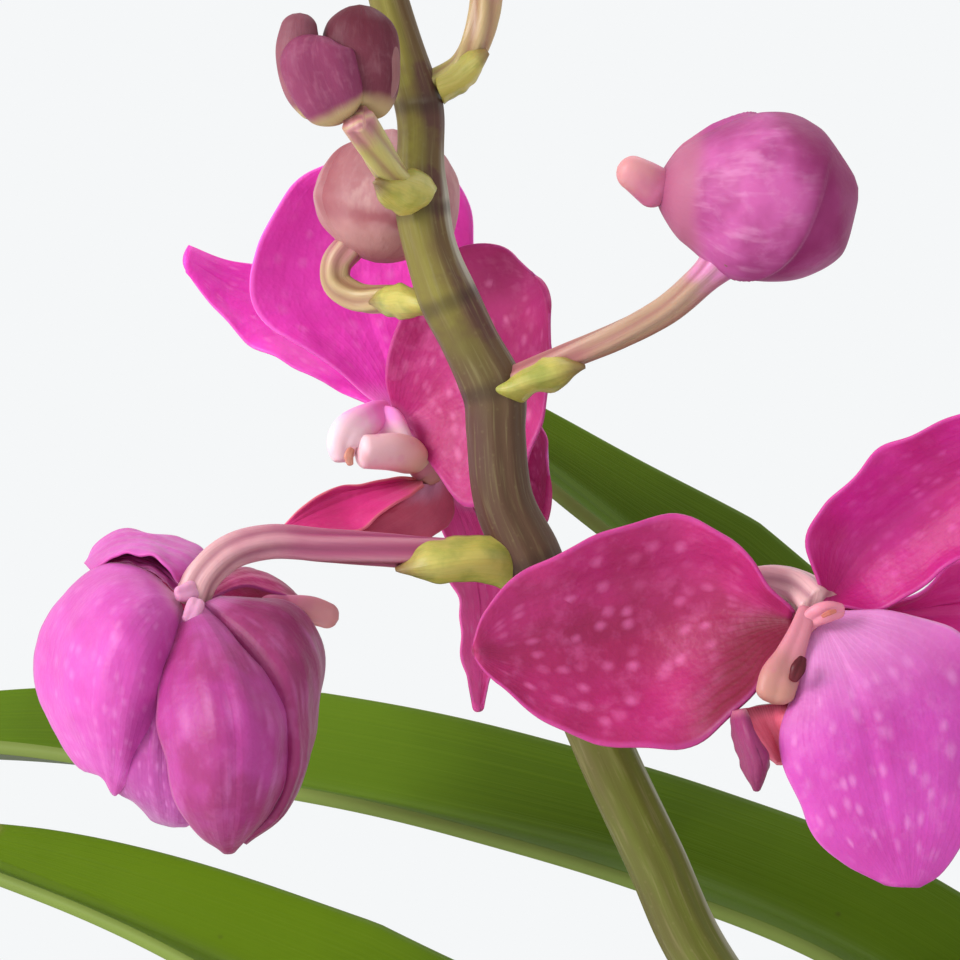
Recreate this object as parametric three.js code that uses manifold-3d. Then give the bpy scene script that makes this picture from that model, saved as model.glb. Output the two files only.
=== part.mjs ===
// Potted vanda orchid: a terracotta pot of bark, one upright stem with its leaves in two
// ranks, and a flower spike. Millimetres, +Z up, origin at the middle of the pot's underside.
// The spike's face is towards -Y.
import * as THREE from 'three';
import { mergeVertices } from 'three/addons/utils/BufferGeometryUtils.js';
import Module from 'manifold-3d';

const wasm = await Module();
wasm.setup();

// Driving dimensions
const CLEARANCE = 0.3; // gap kept between pieces that touch
const POT = { height: 120, base: 48, top: 68, rim: 72, rimHeight: 26, wall: 5, floor: 7 };
const DRAIN = { radius: 6, distance: 26, count: 3 };
const BARK = { level: 106, chips: 28, chip: [15, 9, 5.5], spread: 55 };
const STEM = { bottom: 62, top: 300, radius: 7.5, sides: 12 };
const RANK_SLOPE = 0.33; // how far the left leaves swing back for each millimetre out
const TEPAL_THICKNESS = 0.9;
const LEAF_THICKNESS = 1.7;
const SPIKE_RADIUS = 3.1;
const SPRAY = new THREE.Vector3(-105, -15, 353); // middle of the open flowers, on the spike

// Colours and finishes
function finish(color, roughness) {
  return new THREE.MeshStandardMaterial({ color, roughness, metalness: 0 });
}
const TERRACOTTA = finish(0xb5653f, 0.85);
const BARK_BROWN = finish(0x5b3a26, 0.95);
const STEM_GREEN = finish(0x6f7a3c, 0.5);
const LEAF_GREEN = finish(0x557a26, 0.45);
const ROOT_GREY = finish(0xb9bda4, 0.8);
const SPIKE_OLIVE = finish(0x6c6440, 0.4);
const PETAL_MAGENTA = finish(0xc22b92, 0.5);
const PETAL_LILAC = finish(0xc95ab5, 0.5);
const BUD_PINK = finish(0xa9447f, 0.5);
const COLUMN_CREAM = finish(0xe8b7ab, 0.4);
const LIP_CRIMSON = finish(0xb81f52, 0.4);
const BRACT_YELLOW = finish(0xb4b04a, 0.55);

// Tepals of the two open flowers and of the opening one. Each is given by its two edges and
// the line along its middle, from claw to tip, in millimetres from the spray's middle.
const FLOWER_A = {
  leftPetal: {
    left: [
      [33.5, -20, -14], [29.5, -21, -9], [23.5, -20, -4.5], [14.5, -20, -5], [6.5, -20, -9],
      [0.5, -20, -14], [-0.5, -20, -18],
    ],
    mid: [
      [33.5, -19, -15], [29, -17, -14.5], [24, -15.5, -14.5], [16, -15, -16.5],
      [7.5, -17, -18], [1.5, -19, -18.5], [-1, -20, -18.5],
    ],
    right: [
      [33, -20, -16], [30.5, -21, -18.5], [27, -22, -24], [17, -23, -28.5], [8.5, -22, -27],
      [2.5, -21, -23], [-0.5, -20, -19],
    ],
  },
  lowerSepal: {
    left: [
      [35.5, -21, -15], [33.5, -23, -18], [32.5, -25, -23], [31.5, -26, -28], [33, -27, -32.5],
      [36, -28, -38.5], [42, -28, -42.5],
    ],
    mid: [
      [36, -21, -14.5], [37.5, -25, -18.5], [39.5, -29, -23], [41, -31, -28],
      [41.5, -32, -33.5], [42.5, -31, -38.5], [43.5, -29, -42.5],
    ],
    right: [
      [37, -20, -14], [44, -21, -14], [50.5, -22, -16], [53.5, -24, -22], [53, -26, -29.5],
      [50, -28, -38], [45.5, -28, -42.5],
    ],
  },
  upperPetal: {
    left: [
      [36.5, -19, -13], [35.5, -20, -9], [35, -21, -5.5], [38, -23, -0.5], [44, -25, 4],
      [51, -27, 7], [57, -28, 7],
    ],
    mid: [
      [37, -19, -13], [39, -17, -10], [41, -17, -7.5], [45, -18, -4], [49.5, -20, -0.5],
      [54.5, -23, 2.5], [58, -27, 5.5],
    ],
    right: [
      [37.5, -19, -13.5], [41.5, -20, -14], [45, -21, -12.5], [50, -22, -9], [54.5, -24, -5],
      [58, -26, 0.5], [58.5, -28, 4],
    ],
  },
  dorsalSepal: {
    left: [
      [37.5, -17, -13.5], [41.5, -14, -13.5], [46, -12, -12.5], [52, -10, -9], [58.5, -9, -7],
      [64.5, -10, -8.5], [66.5, -12, -12],
    ],
    mid: [
      [37.5, -16, -14], [41.5, -11, -14], [46, -8, -14], [52.5, -6, -13.5], [59, -6, -13],
      [64.5, -8, -13], [66.5, -12, -12.5],
    ],
    right: [
      [37.5, -17, -14], [41.5, -14, -14.5], [46, -12, -15.5], [52, -10, -17.5],
      [58.5, -9, -19], [64.5, -10, -17.5], [66.5, -12, -13.5],
    ],
  },
  rearSepal: {
    left: [
      [37.5, -17, -14], [43, -15, -15], [50.5, -14, -17], [58, -14, -22.5], [62, -16, -30],
      [62, -18, -36.5], [59.5, -20, -40],
    ],
    mid: [
      [37.5, -17, -14.5], [41.5, -14, -17.5], [47, -12, -21.5], [52.5, -12, -26.5],
      [56.5, -14, -32], [59, -17, -37], [59, -20, -40.5],
    ],
    right: [
      [37, -18, -15], [39.5, -17, -19], [43.5, -17, -25], [46.5, -17, -31.5], [50, -18, -37.5],
      [54.5, -19, -40.5], [58.5, -20, -41],
    ],
  },
};
const FLOWER_A_LIP = {
  tongue: {
    left: [[32, -24, -23], [28, -26, -24], [27, -27, -26], [27.5, -27, -28.5], [28.5, -26, -31]],
    mid: [[33, -21, -23.5], [30.5, -21, -25], [29.5, -21, -27], [29.5, -22, -29.5], [29.5, -24, -32.5]],
    right: [[33.5, -23, -23.5], [33, -24, -25], [32.5, -25, -27], [31.5, -25, -29.5], [30, -25, -32]],
  },
};
const FLOWER_A_COLUMN = [[36, -22, -14.5], [34, -24, -17], [32, -25, -20], [31, -25, -22.5]];
const FLOWER_B = {
  farPetal: {
    left: [[-9, 28, 6], [-16, 29, 10.5], [-21.5, 29, 13], [-26, 30, 15.5], [-31, 31, 20], [-34, 31, 24]],
    mid: [
      [-9, 29, 6.5], [-15, 31, 12.5], [-19.5, 34, 17], [-25, 34, 20.5], [-30, 33, 23],
      [-34, 31, 25.5],
    ],
    right: [
      [-8.5, 29, 7], [-12.5, 33, 15], [-17, 35, 21], [-23.5, 35, 24.5], [-29.5, 34, 25.5],
      [-34, 32, 27],
    ],
  },
  dorsalSepal: {
    left: [
      [-10.5, 26, 8], [-17, 24, 13], [-24, 23, 17.5], [-26, 22, 23], [-25, 22, 28.5],
      [-20.5, 22, 34], [-14.5, 23, 37.5],
    ],
    mid: [
      [-9, 27, 8], [-11, 27, 14], [-13, 27, 19.5], [-14, 27, 25.5], [-13.5, 26, 30.5],
      [-13, 24, 34.5], [-12.5, 23, 37.5],
    ],
    right: [
      [-8, 26, 8], [-4.5, 26, 15], [-1.5, 25, 22], [-0.5, 24, 27.5], [-1.5, 23, 32],
      [-4.5, 23, 36], [-10.5, 23, 37.5],
    ],
  },
  nearPetal: {
    left: [
      [-10, 26, 7], [-11, 24, 12.5], [-9, 22, 19.5], [-5.5, 20, 24.5], [-1.5, 18, 26.5],
      [2.5, 16, 26.5], [6, 14, 23],
    ],
    mid: [
      [-9, 26, 6.5], [-7, 25, 8], [-3.5, 23, 11.5], [0.5, 20, 15], [3.5, 17, 17.5],
      [6, 15, 19.5], [7.5, 13, 21.5],
    ],
    right: [
      [-8, 25, 5.5], [-5, 21, 1], [-1, 17, -3], [4, 14, 0], [6.5, 12, 5.5], [8, 11, 12.5],
      [7.5, 12, 18.5],
    ],
  },
  hangingSepal: {
    left: [[-5.5, 26, -1], [-4, 25, -7], [-3, 23, -12.5], [-2, 21, -19.5], [-1, 19, -25]],
    mid: [[-3.5, 28, -1.5], [-1.5, 28, -7.5], [0, 27, -13], [0, 24, -20], [0, 20, -26]],
    right: [[-1, 28, -2.5], [1, 29, -8], [2.5, 27, -14], [1.5, 23, -20.5], [0.5, 20, -25]],
  },
  rearSepal: {
    left: [[-6, 29, 0], [-2.5, 29, -2.5], [1, 27, -4], [4.5, 24, -5], [7, 20, -5.5]],
    mid: [[-5, 31, 2.5], [-1, 32, 1.5], [3, 30, 1.5], [6, 26, 0], [7.5, 21, -3]],
    right: [[-4.5, 30, 4.5], [0, 30, 7], [4, 27, 8.5], [7, 24, 7], [8, 21, 0.5]],
  },
};
const FLOWER_B_LIP = {
  tongue: {
    left: [[-6, 25, -0.5], [-10.5, 22, 0], [-15, 19, -1], [-19, 17, -2.5], [-22, 15, -5]],
    mid: [[-5.5, 26, -2], [-9.5, 25, -3], [-15, 22, -3.5], [-18.5, 19, -4.5], [-22.5, 15, -5.5]],
    right: [[-4.5, 24, -3.5], [-8.5, 21, -5], [-14, 18, -6], [-18, 17, -6], [-22, 15, -6]],
  },
};
const FLOWER_B_COLUMN = [[-7, 25, 4], [-10, 22, 3.5], [-13.5, 19, 3.5], [-16.5, 17, 4]];
const FLOWER_C = {
  frontSepal: {
    left: [
      [-32, -9, -14.5], [-34, -14, -19.5], [-34.5, -17, -24], [-34, -19, -29.5],
      [-32, -19, -35], [-29.5, -17, -39], [-27.5, -15, -40],
    ],
    mid: [
      [-31, -9, -14], [-26, -16, -18], [-23.5, -20, -22.5], [-23, -22, -27], [-24, -22, -32.5],
      [-25.5, -19, -36.5], [-27, -15, -40.5],
    ],
    right: [
      [-29, -8, -13.5], [-21.5, -5, -13.5], [-17.5, -3, -17.5], [-17.5, -4, -23],
      [-18.5, -7, -29], [-21.5, -11, -35], [-26.5, -14, -40],
    ],
  },
  leftPetal: {
    left: [
      [-33.5, -7, -13], [-42, -4, -10], [-47, -2, -14.5], [-49, -3, -20], [-47.5, -5, -25.5],
      [-44.5, -7, -30.5], [-41.5, -8, -32.5],
    ],
    mid: [
      [-33, -8, -13.5], [-38.5, -11, -13], [-41.5, -14, -16.5], [-42.5, -15, -21.5],
      [-42.5, -14, -26], [-41.5, -12, -29.5], [-40.5, -9, -32.5],
    ],
    right: [
      [-32.5, -9, -14], [-34, -11, -16.5], [-35, -13, -20.5], [-36.5, -13, -25.5],
      [-38.5, -12, -29], [-39.5, -11, -32], [-40, -9, -32.5],
    ],
  },
  middleSepal: {
    left: [
      [-33, -7, -14.5], [-36, -8, -20.5], [-38.5, -7, -26], [-40.5, -5, -31], [-40.5, -4, -34],
      [-39, -4, -35], [-36, -5, -37],
    ],
    mid: [
      [-32.5, -7, -14.5], [-34, -11, -21.5], [-35.5, -12, -27.5], [-36, -12, -32],
      [-35.5, -10, -34.5], [-35, -8, -36.5], [-34.5, -6, -37.5],
    ],
    right: [
      [-32, -7, -14.5], [-32.5, -10, -21.5], [-32.5, -12, -28], [-31.5, -13, -33.5],
      [-31, -12, -36], [-31.5, -10, -37], [-33, -7, -37.5],
    ],
  },
  curledPetal: {
    left: [
      [-32, -6, -13.5], [-36, -1, -10.5], [-40.5, 3, -9.5], [-43.5, 7, -9.5], [-46, 12, -12.5],
      [-47.5, 17, -18],
    ],
    mid: [
      [-31.5, -5, -13.5], [-36, 3, -7.5], [-40.5, 9, -6.5], [-44, 14, -8], [-47, 20, -13.5],
      [-47.5, 24, -20.5],
    ],
    right: [
      [-31, -5, -13], [-34, 5, -6.5], [-38.5, 14, -7], [-42.5, 20, -9.5], [-44.5, 26, -16],
      [-44.5, 28, -23],
    ],
  },
  rightPetal: {
    left: [
      [-31, -7, -14], [-26, -1, -11.5], [-21, 2, -13], [-18.5, 6, -18], [-19, 9, -24.5],
      [-22, 10, -31.5],
    ],
    mid: [
      [-31, -6, -13.5], [-25.5, 5, -10.5], [-22, 11, -12.5], [-20.5, 17, -18], [-21, 20, -25],
      [-24.5, 19, -32.5],
    ],
    right: [
      [-31.5, -5, -13.5], [-28, 9, -10], [-26, 18, -12.5], [-26, 25, -19.5],
      [-27.5, 27, -26.5], [-30.5, 24, -32.5],
    ],
  },
  rearSepal: {
    left: [
      [-32, -5, -13.5], [-38, 13, -12.5], [-43, 22, -18], [-43.5, 24, -25], [-40, 21, -32],
      [-35, 14, -37],
    ],
    mid: [
      [-31.5, -5, -13.5], [-34.5, 16, -13.5], [-36, 27, -19.5], [-35.5, 29, -26.5],
      [-34, 24, -32.5], [-32.5, 14, -37.5],
    ],
    right: [
      [-31, -5, -13.5], [-29.5, 16, -13.5], [-27.5, 25, -19.5], [-27, 26, -26], [-28, 21, -32],
      [-30.5, 13, -36.5],
    ],
  },
};

// Stalks, spurs, bud axes and bracts, from the spike outwards
const STALKS = {
  a: [
    [10, -1, -22.5], [14, -5, -20], [18.5, -7, -17.5], [24.5, -8, -13.5], [30, -11, -11],
    [34.5, -16, -12], [36, -19, -13.5],
  ],
  b: [[7.5, 2, -14.5], [8, 9, -13], [7, 18, -9], [3, 26, -4], [-3, 29, 1], [-7.5, 28, 6]],
  c: [
    [4, -1, -7.5], [-4.5, -2, -8], [-11, -3, -7.5], [-17.5, -4, -7], [-23, -5, -7],
    [-27, -6, -7.5], [-30, -7, -10.5], [-31.5, -7, -13.5],
  ],
  d: [[1.5, -1, 10], [9, -2, 13], [15.5, -3, 16], [20.5, -3, 19], [24, -3, 21.5], [26.5, -3, 24]],
  e: [
    [-4.5, 2, 19.5], [-7, 5, 20], [-9.5, 8, 20], [-13.5, 11, 20.5], [-16, 12, 22],
    [-16, 12, 24.5], [-14.5, 12, 26.5],
  ],
  f: [[-7.5, 0, 31], [-10, -8, 34], [-11.5, -11, 36], [-13, -14, 39]],
  g: [[-6, 0, 43], [-2, 0, 45.5], [-0.5, -1, 48.5], [0.5, -1, 52], [1, -1, 55]],
};
const SPURS = {
  c: [[-30.5, -4, -14.5], [-26.5, 1, -15], [-21, 2, -14.5], [-18, 2, -15], [-16, 2, -15.5]],
  d: [[22, -3, 29.5], [19, -4, 32], [17, -5, 33.5], [15.5, -5, 34.5]],
};
const BUDS = {
  d: [[25.5, -3, 22.5], [28, -3, 27.5], [31.5, -3, 33.5], [35, -3, 40.5]],
  e: [[-14, 12, 24.5], [-12, 12, 27.5], [-10, 12, 31.5], [-8.5, 12, 38]],
  f: [[-13.5, -15, 38], [-14.5, -16, 41], [-15, -16, 45.5], [-15.5, -15, 51.5]],
  g: [[1, -1, 54], [1.5, -2, 57.5], [1.5, -2, 61.5], [1.5, -2, 65.5]],
};
const BUD_RADIUS = { d: 10, e: 7.6, f: 6.3, g: 5 };
const BRACTS = {
  c: [[3.5, -1, -8.5], [-1.5, -2, -9], [-5.5, -3, -8.5], [-9, -3, -8]],
  d: [[1, -1, 10], [4, -2, 11], [7, -2, 12.5], [10, -3, 13.5]],
  e: [[-4.5, 2, 19], [-8, 6, 19.5], [-10, 8, 20], [-11, 9, 20]],
  f: [[-6.5, -2, 30.5], [-8.5, -4, 31], [-10, -7, 32.5], [-11, -9, 33.5]],
  g: [[-4.5, 0, 42.5], [-3, 0, 43.5], [-0.5, 0, 45.5], [0.5, -1, 47]],
};
const SPIKE = [
  [24.5, 0, -53], [19, 0, -41.5], [14, 0, -30], [9, 0, -17.5], [5, 0, -8], [2.5, 0, -2],
  [2, 0, 5], [1.5, 0, 9.5], [-1, 0, 15.5], [-4, 0, 21], [-6, 0, 27.5], [-6.5, 0, 34],
  [-6.5, 0, 40], [-7.5, 0, 44.5], [-10, 0, 53], [-12.5, 0, 62.5], [-15.5, 0, 73.5],
  [-19, 0, 86],
];
// The spike's foot, from the leaf axil up to the spray, in the part's own frame
const SPIKE_FOOT = [[-4, -4, 205], [-9, -8, 215], [-26, -16, 236], [-53, -19, 266]];
const TIP_BUDS = [[-15, 4, 66, 3.6], [-10, -5, 72, 3], [-21, -3, 79, 2.6], [-15, 3, 84, 2.2]];

// Leaves: foot height on the stem, then the keel's points as [distance out, height]
const LEFT_LEAVES = [
  { foot: 286, keel: [[30, 307], [70, 332], [98, 354], [108, 361]], width: 12, roll: 23 },
  {
    foot: 250,
    keel: [[25, 269], [56, 294], [82, 305.5], [104, 311], [150, 318.5], [180, 319.5]],
    width: 14,
    roll: 23,
  },
  { foot: 214, keel: [[28, 240], [60, 259.5], [105, 280], [140, 295.5], [172, 307.5]], width: 14, roll: 23 },
  { foot: 186, keel: [[30, 212], [80, 234], [140, 241], [195, 231]], width: 15, roll: 12 },
  { foot: 158, keel: [[32, 179], [85, 197], [150, 196], [212, 172]], width: 15, roll: 8 },
  { foot: 132, keel: [[34, 148], [90, 160], [155, 150], [205, 122]], width: 15, roll: 5 },
];
const RIGHT_LEAVES = [
  { foot: 294, keel: [[16, 322], [38, 352], [60, 372], [72, 378]], width: 10, roll: 0 },
  { foot: 266, keel: [[24, 294], [62, 326], [108, 344], [146, 348]], width: 13, roll: -8 },
  { foot: 236, keel: [[28, 260], [76, 290], [132, 302], [186, 296]], width: 14, roll: -8 },
  { foot: 206, keel: [[30, 228], [84, 254], [150, 260], [214, 242]], width: 15, roll: -6 },
  { foot: 176, keel: [[32, 197], [88, 218], [154, 216], [220, 190]], width: 15, roll: -5 },
  { foot: 146, keel: [[34, 164], [90, 180], [152, 172], [208, 144]], width: 15, roll: -4 },
];
const LEAF_OPENING = 58; // degrees from the leaf's middle plane to each half

// Aerial roots, from the stem down into the bark or over it
const ROOTS = [
  [[4, -5, 128], [14, -16, 122], [26, -28, 110], [31, -34, 96]],
  [[-5, -4, 120], [-18, -14, 117], [-33, -18, 108], [-38, -20, 96]],
  [[-2, 6, 119], [-10, 19, 119], [-21, 33, 110], [-24, 38, 96]],
  [[6, 3, 116], [18, 12, 115], [34, 20, 108], [40, 24, 96]],
];
const ROOT_RADIUS = 2.2;

const vector = (point) => new THREE.Vector3(...point);
const inSpray = (point) => vector(point).add(SPRAY);
const through = (points) => new THREE.CatmullRomCurve3(points, false, 'centripetal');

// Repeatable draws for the bark
let seed = 20;
function draw(low, high) {
  seed = (seed * 48271) % 2147483647;
  return low + (high - low) * (seed / 2147483647);
}

// A closed body from loose triangles, turned right side out
function solid(geometry, merge = 1e-4) {
  const bare = geometry.clone();
  bare.deleteAttribute('normal');
  bare.deleteAttribute('uv');
  const merged = mergeVertices(bare, merge);
  const corners = Array.from(merged.index.array);
  const kept = [];
  for (let i = 0; i < corners.length; i += 3) {
    const [a, b, c] = corners.slice(i, i + 3);
    if (a !== b && b !== c && c !== a) kept.push(a, b, c);
  }
  const make = (triangles) => new wasm.Manifold(new wasm.Mesh({
    numProp: 3,
    vertProperties: Float32Array.from(merged.attributes.position.array),
    triVerts: Uint32Array.from(triangles),
  }));
  const body = make(kept);
  if (body.volume() > 0) return body;
  const flipped = [];
  for (let i = 0; i < kept.length; i += 3) flipped.push(kept[i], kept[i + 2], kept[i + 1]);
  return make(flipped);
}

function shape(positions, triangles) {
  const geometry = new THREE.BufferGeometry();
  const numbers = positions.flatMap((point) => point.toArray());
  geometry.setAttribute('position', new THREE.Float32BufferAttribute(numbers, 3));
  geometry.setIndex(triangles);
  return geometry;
}

// A round or lobed stem along a curve: radius(t, angle) gives its half width
function rod(points, radius, steps = 10, sides = 8) {
  const curve = through(points);
  const frames = curve.computeFrenetFrames(steps, false);
  const positions = [];
  const triangles = [];
  for (let k = 0; k <= steps; k += 1) {
    const centre = curve.getPointAt(k / steps);
    for (let s = 0; s < sides; s += 1) {
      const angle = (s / sides) * 2 * Math.PI;
      const r = radius(k / steps, angle);
      positions.push(centre.clone()
        .addScaledVector(frames.normals[k], r * Math.cos(angle))
        .addScaledVector(frames.binormals[k], r * Math.sin(angle)));
    }
  }
  for (let k = 0; k < steps; k += 1) {
    for (let s = 0; s < sides; s += 1) {
      const next = (s + 1) % sides;
      const [low, high] = [k * sides, (k + 1) * sides];
      triangles.push(low + s, low + next, high + next, low + s, high + next, high + s);
    }
  }
  const first = positions.length;
  positions.push(curve.getPointAt(0), curve.getPointAt(1));
  for (let s = 0; s < sides; s += 1) {
    const next = (s + 1) % sides;
    triangles.push(first, next, s, first + 1, steps * sides + s, steps * sides + next);
  }
  return solid(shape(positions, triangles));
}

// A blade of even thickness over a grid of points, rows along it and columns across it
function blade(rows, thickness) {
  const last = rows.length - 1;
  const side = rows[0].length - 1;
  const at = (i, j) => rows[Math.min(Math.max(i, 0), last)][Math.min(Math.max(j, 0), side)];
  const positions = [];
  for (const half of [0.5, -0.5]) {
    for (let i = 0; i <= last; i += 1) {
      for (let j = 0; j <= side; j += 1) {
        const along = at(i + 1, j).clone().sub(at(i - 1, j));
        const across = at(i, j + 1).clone().sub(at(i, j - 1));
        const normal = along.cross(across).normalize();
        positions.push(at(i, j).clone().addScaledVector(normal, half * thickness));
      }
    }
  }
  const under = positions.length / 2;
  const index = (i, j) => i * (side + 1) + j;
  const triangles = [];
  for (let i = 0; i < last; i += 1) {
    for (let j = 0; j < side; j += 1) {
      const [a, b, c, d] = [index(i, j), index(i + 1, j), index(i + 1, j + 1), index(i, j + 1)];
      triangles.push(a, b, c, a, c, d);
      triangles.push(under + a, under + c, under + b, under + a, under + d, under + c);
    }
  }
  const rim = [];
  for (let i = 0; i < last; i += 1) rim.push(index(i, 0));
  for (let j = 0; j < side; j += 1) rim.push(index(last, j));
  for (let i = last; i > 0; i -= 1) rim.push(index(i, side));
  for (let j = side; j > 0; j -= 1) rim.push(index(0, j));
  rim.forEach((p, n) => {
    const q = rim[(n + 1) % rim.length];
    triangles.push(q, p, under + p, q, under + p, under + q);
  });
  return solid(shape(positions, triangles));
}

// A tepal: its rows run from one edge over the middle line to the other edge
function tepal({ left, mid, right }, thickness = TEPAL_THICKNESS, steps = 7) {
  const lines = [left, mid, right].map((line) => through(line.map(inSpray)));
  const rows = [];
  for (let i = 0; i <= steps; i += 1) {
    const [a, m, b] = lines.map((curve) => curve.getPointAt(i / steps));
    const row = [];
    for (const v of [-1, -0.5, 0, 0.5, 1]) {
      row.push(new THREE.Vector3()
        .addScaledVector(a, (v * (v - 1)) / 2)
        .addScaledVector(m, 1 - v * v)
        .addScaledVector(b, (v * (v + 1)) / 2));
    }
    rows.push(row);
  }
  return blade(rows, thickness);
}

const joined = (bodies) => bodies.reduce((sum, body) => sum.add(body));

function ball(point, radius, detail = 1) {
  const geometry = new THREE.IcosahedronGeometry(radius, detail);
  geometry.translate(...point.toArray());
  return solid(geometry);
}

function largest(body) {
  const pieces = body.decompose();
  return pieces.reduce((best, piece) => (piece.volume() > best.volume() ? piece : best));
}

const plant = new THREE.Group();
plant.name = 'potted_vanda_orchid';

function surfaceOf(body) {
  const mesh = body.getMesh();
  const geometry = new THREE.BufferGeometry();
  geometry.setAttribute('position', new THREE.BufferAttribute(mesh.vertProperties, 3));
  geometry.setIndex(new THREE.BufferAttribute(mesh.triVerts, 1));
  return geometry;
}

// Slivers left by the cuts are closed up before the piece is added
function add(name, body, material) {
  const clean = largest(solid(surfaceOf(body), 2e-3));
  const geometry = surfaceOf(clean);
  geometry.computeVertexNormals();
  const piece = new THREE.Mesh(geometry, material);
  piece.name = name;
  plant.add(piece);
}

// Pot with drain holes
function potBody() {
  const { height, base, top, rim, rimHeight, wall, floor } = POT;
  const slope = (top - base) / (height - rimHeight);
  const outline = [
    [0, 0], [base - 1.5, 0], [base, 1.5], [top, height - rimHeight], [rim, height - rimHeight + 2],
    [rim + 1, height - 1.5], [rim - 0.5, height], [rim - wall, height - 1],
    [top - wall, height - rimHeight - 4], [base - wall + slope * floor, floor], [0, floor],
  ].map(([r, z]) => new THREE.Vector2(r, z));
  const turned = new THREE.LatheGeometry(outline, 32);
  turned.rotateX(Math.PI / 2);
  let pot = solid(turned);
  for (let k = 0; k < DRAIN.count; k += 1) {
    const angle = ((k + 0.5) / DRAIN.count) * 2 * Math.PI;
    const hole = new THREE.CylinderGeometry(DRAIN.radius, DRAIN.radius, 3 * floor, 16);
    hole.rotateX(Math.PI / 2);
    hole.translate(DRAIN.distance * Math.cos(angle), DRAIN.distance * Math.sin(angle), floor / 2);
    pot = pot.subtract(solid(hole));
  }
  return pot;
}

// Growing medium: a bed of bark with chips standing out of its top
function barkBody() {
  const { height, base, top, rim, rimHeight, wall, floor } = POT;
  const slope = (top - base) / (height - rimHeight);
  const inset = wall + CLEARANCE + 0.1;
  const shoulder = height - rimHeight - 4;
  const rise = (rim - top) / (rimHeight + 3);
  const outline = [
    [0, floor + CLEARANCE], [base - inset + slope * floor, floor + CLEARANCE],
    [top - inset, shoulder], [top - inset + rise * (BARK.level - shoulder), BARK.level], [0, BARK.level],
  ].map(([r, z]) => new THREE.Vector2(r, z));
  const turned = new THREE.LatheGeometry(outline, 32);
  turned.rotateX(Math.PI / 2);
  let bed = solid(turned);
  for (let k = 0; k < BARK.chips; k += 1) {
    const size = draw(0.6, 1.1);
    const chip = new THREE.BoxGeometry(...BARK.chip.map((side) => side * size));
    chip.rotateX(draw(-0.5, 0.5));
    chip.rotateY(draw(-0.5, 0.5));
    chip.rotateZ(draw(0, Math.PI));
    const distance = 10 + (BARK.spread - 10) * Math.sqrt((k + 0.5) / BARK.chips);
    const angle = k * 2.4;
    chip.translate(distance * Math.cos(angle), distance * Math.sin(angle), BARK.level + draw(-0.5, 1.5));
    bed = bed.add(solid(chip));
  }
  return bed;
}

// The upright stem, a little zig-zag, with a ring at each leaf's foot
function stemBody(grow = 0) {
  const points = [];
  for (let k = 0; k <= 8; k += 1) {
    const z = STEM.bottom - grow + ((STEM.top - STEM.bottom + 2 * grow) * k) / 8;
    points.push(new THREE.Vector3(0.8 * Math.sin(k * 1.9), 0.6 * Math.cos(k * 2.3), z));
  }
  const radius = (t) => (STEM.radius - 2.2 * t) * (1 + 0.05 * Math.cos(t * 16 * Math.PI)) + grow;
  return rod(points, radius, 24, STEM.sides);
}

// A leaf: a folded strap that clasps the stem, arches out and ends in an uneven tip
function leafBody({ foot, keel, width, roll }, side) {
  const at = ([out, z]) => new THREE.Vector3(side * out, -side * RANK_SLOPE * out, z);
  const curve = through([at([0, foot - 10]), at([7, foot + 3]), ...keel.map(at)]);
  const steps = 12;
  const rows = [];
  for (let i = 0; i <= steps; i += 1) {
    const t = i / steps;
    const along = curve.getTangentAt(t);
    const across = new THREE.Vector3(0, 0, 1).cross(along).normalize();
    const up = along.clone().cross(across);
    const turn = THREE.MathUtils.degToRad(roll) * Math.min(1, t * 3);
    const sideways = across.clone().applyAxisAngle(along, side * turn);
    const upwards = up.clone().applyAxisAngle(along, side * turn);
    const half = width * Math.min(0.68 + 1.3 * t, 1) * Math.min(1, 0.42 + 2.3 * (1 - t));
    const opening = THREE.MathUtils.degToRad(LEAF_OPENING * Math.min(1, 0.55 + 1.6 * t));
    const row = [];
    for (const v of [-1, -0.5, 0, 0.5, 1]) {
      const reach = half * Math.abs(v);
      const bite = i === steps ? 4 * Math.sin(v * 2.6 + foot) - 2 * Math.abs(v) : 0;
      row.push(curve.getPointAt(t)
        .addScaledVector(sideways, Math.sign(v) * reach * Math.sin(opening))
        .addScaledVector(upwards, reach * Math.cos(opening))
        .addScaledVector(along, bite));
    }
    rows.push(row);
  }
  const beyond = new THREE.BoxGeometry(40, 40, 80);
  beyond.translate(side * -19.8, 0, foot);
  return blade(rows, LEAF_THICKNESS).subtract(solid(beyond));
}

// The flower spike from the leaf axil to its tip, with the youngest buds
function spikePoints() {
  return [...SPIKE_FOOT.map(vector), ...SPIKE.map(inSpray)];
}
function spikeBody(grow = 0) {
  const radius = (t) => SPIKE_RADIUS * (t < 0.7 ? 1.05 : 1.05 - 1.9 * (t - 0.7)) + grow;
  let spike = rod(spikePoints(), radius, 36, 10);
  if (grow > 0) return spike;
  for (const [x, y, z, r] of TIP_BUDS) {
    const bud = ball(inSpray([x, y, z]), r, 0);
    const line = through(SPIKE.map(inSpray));
    let nearest = line.getPointAt(0);
    for (let k = 0; k <= 60; k += 1) {
      const p = line.getPointAt(k / 60);
      if (p.distanceTo(inSpray([x, y, z - 5])) < nearest.distanceTo(inSpray([x, y, z - 5]))) nearest = p;
    }
    spike = spike.add(bud).add(rod([nearest, inSpray([x, y, z])], () => 0.9, 2, 6));
  }
  return spike;
}

// A bud of overlapping tepals: three rounded lobes meeting in seams
function budBody(key) {
  const radius = BUD_RADIUS[key];
  const swell = (t) => Math.sin(Math.PI * Math.min(0.985, Math.max(0.03, t)) ** 0.85) ** 0.62;
  const lobe = (angle) => 1 - 0.07 * Math.abs(Math.cos(1.5 * angle + 0.6)) ** 6;
  return rod(BUDS[key].map(inSpray), (t, angle) => radius * swell(t) * lobe(angle), 7, 12);
}

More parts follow.
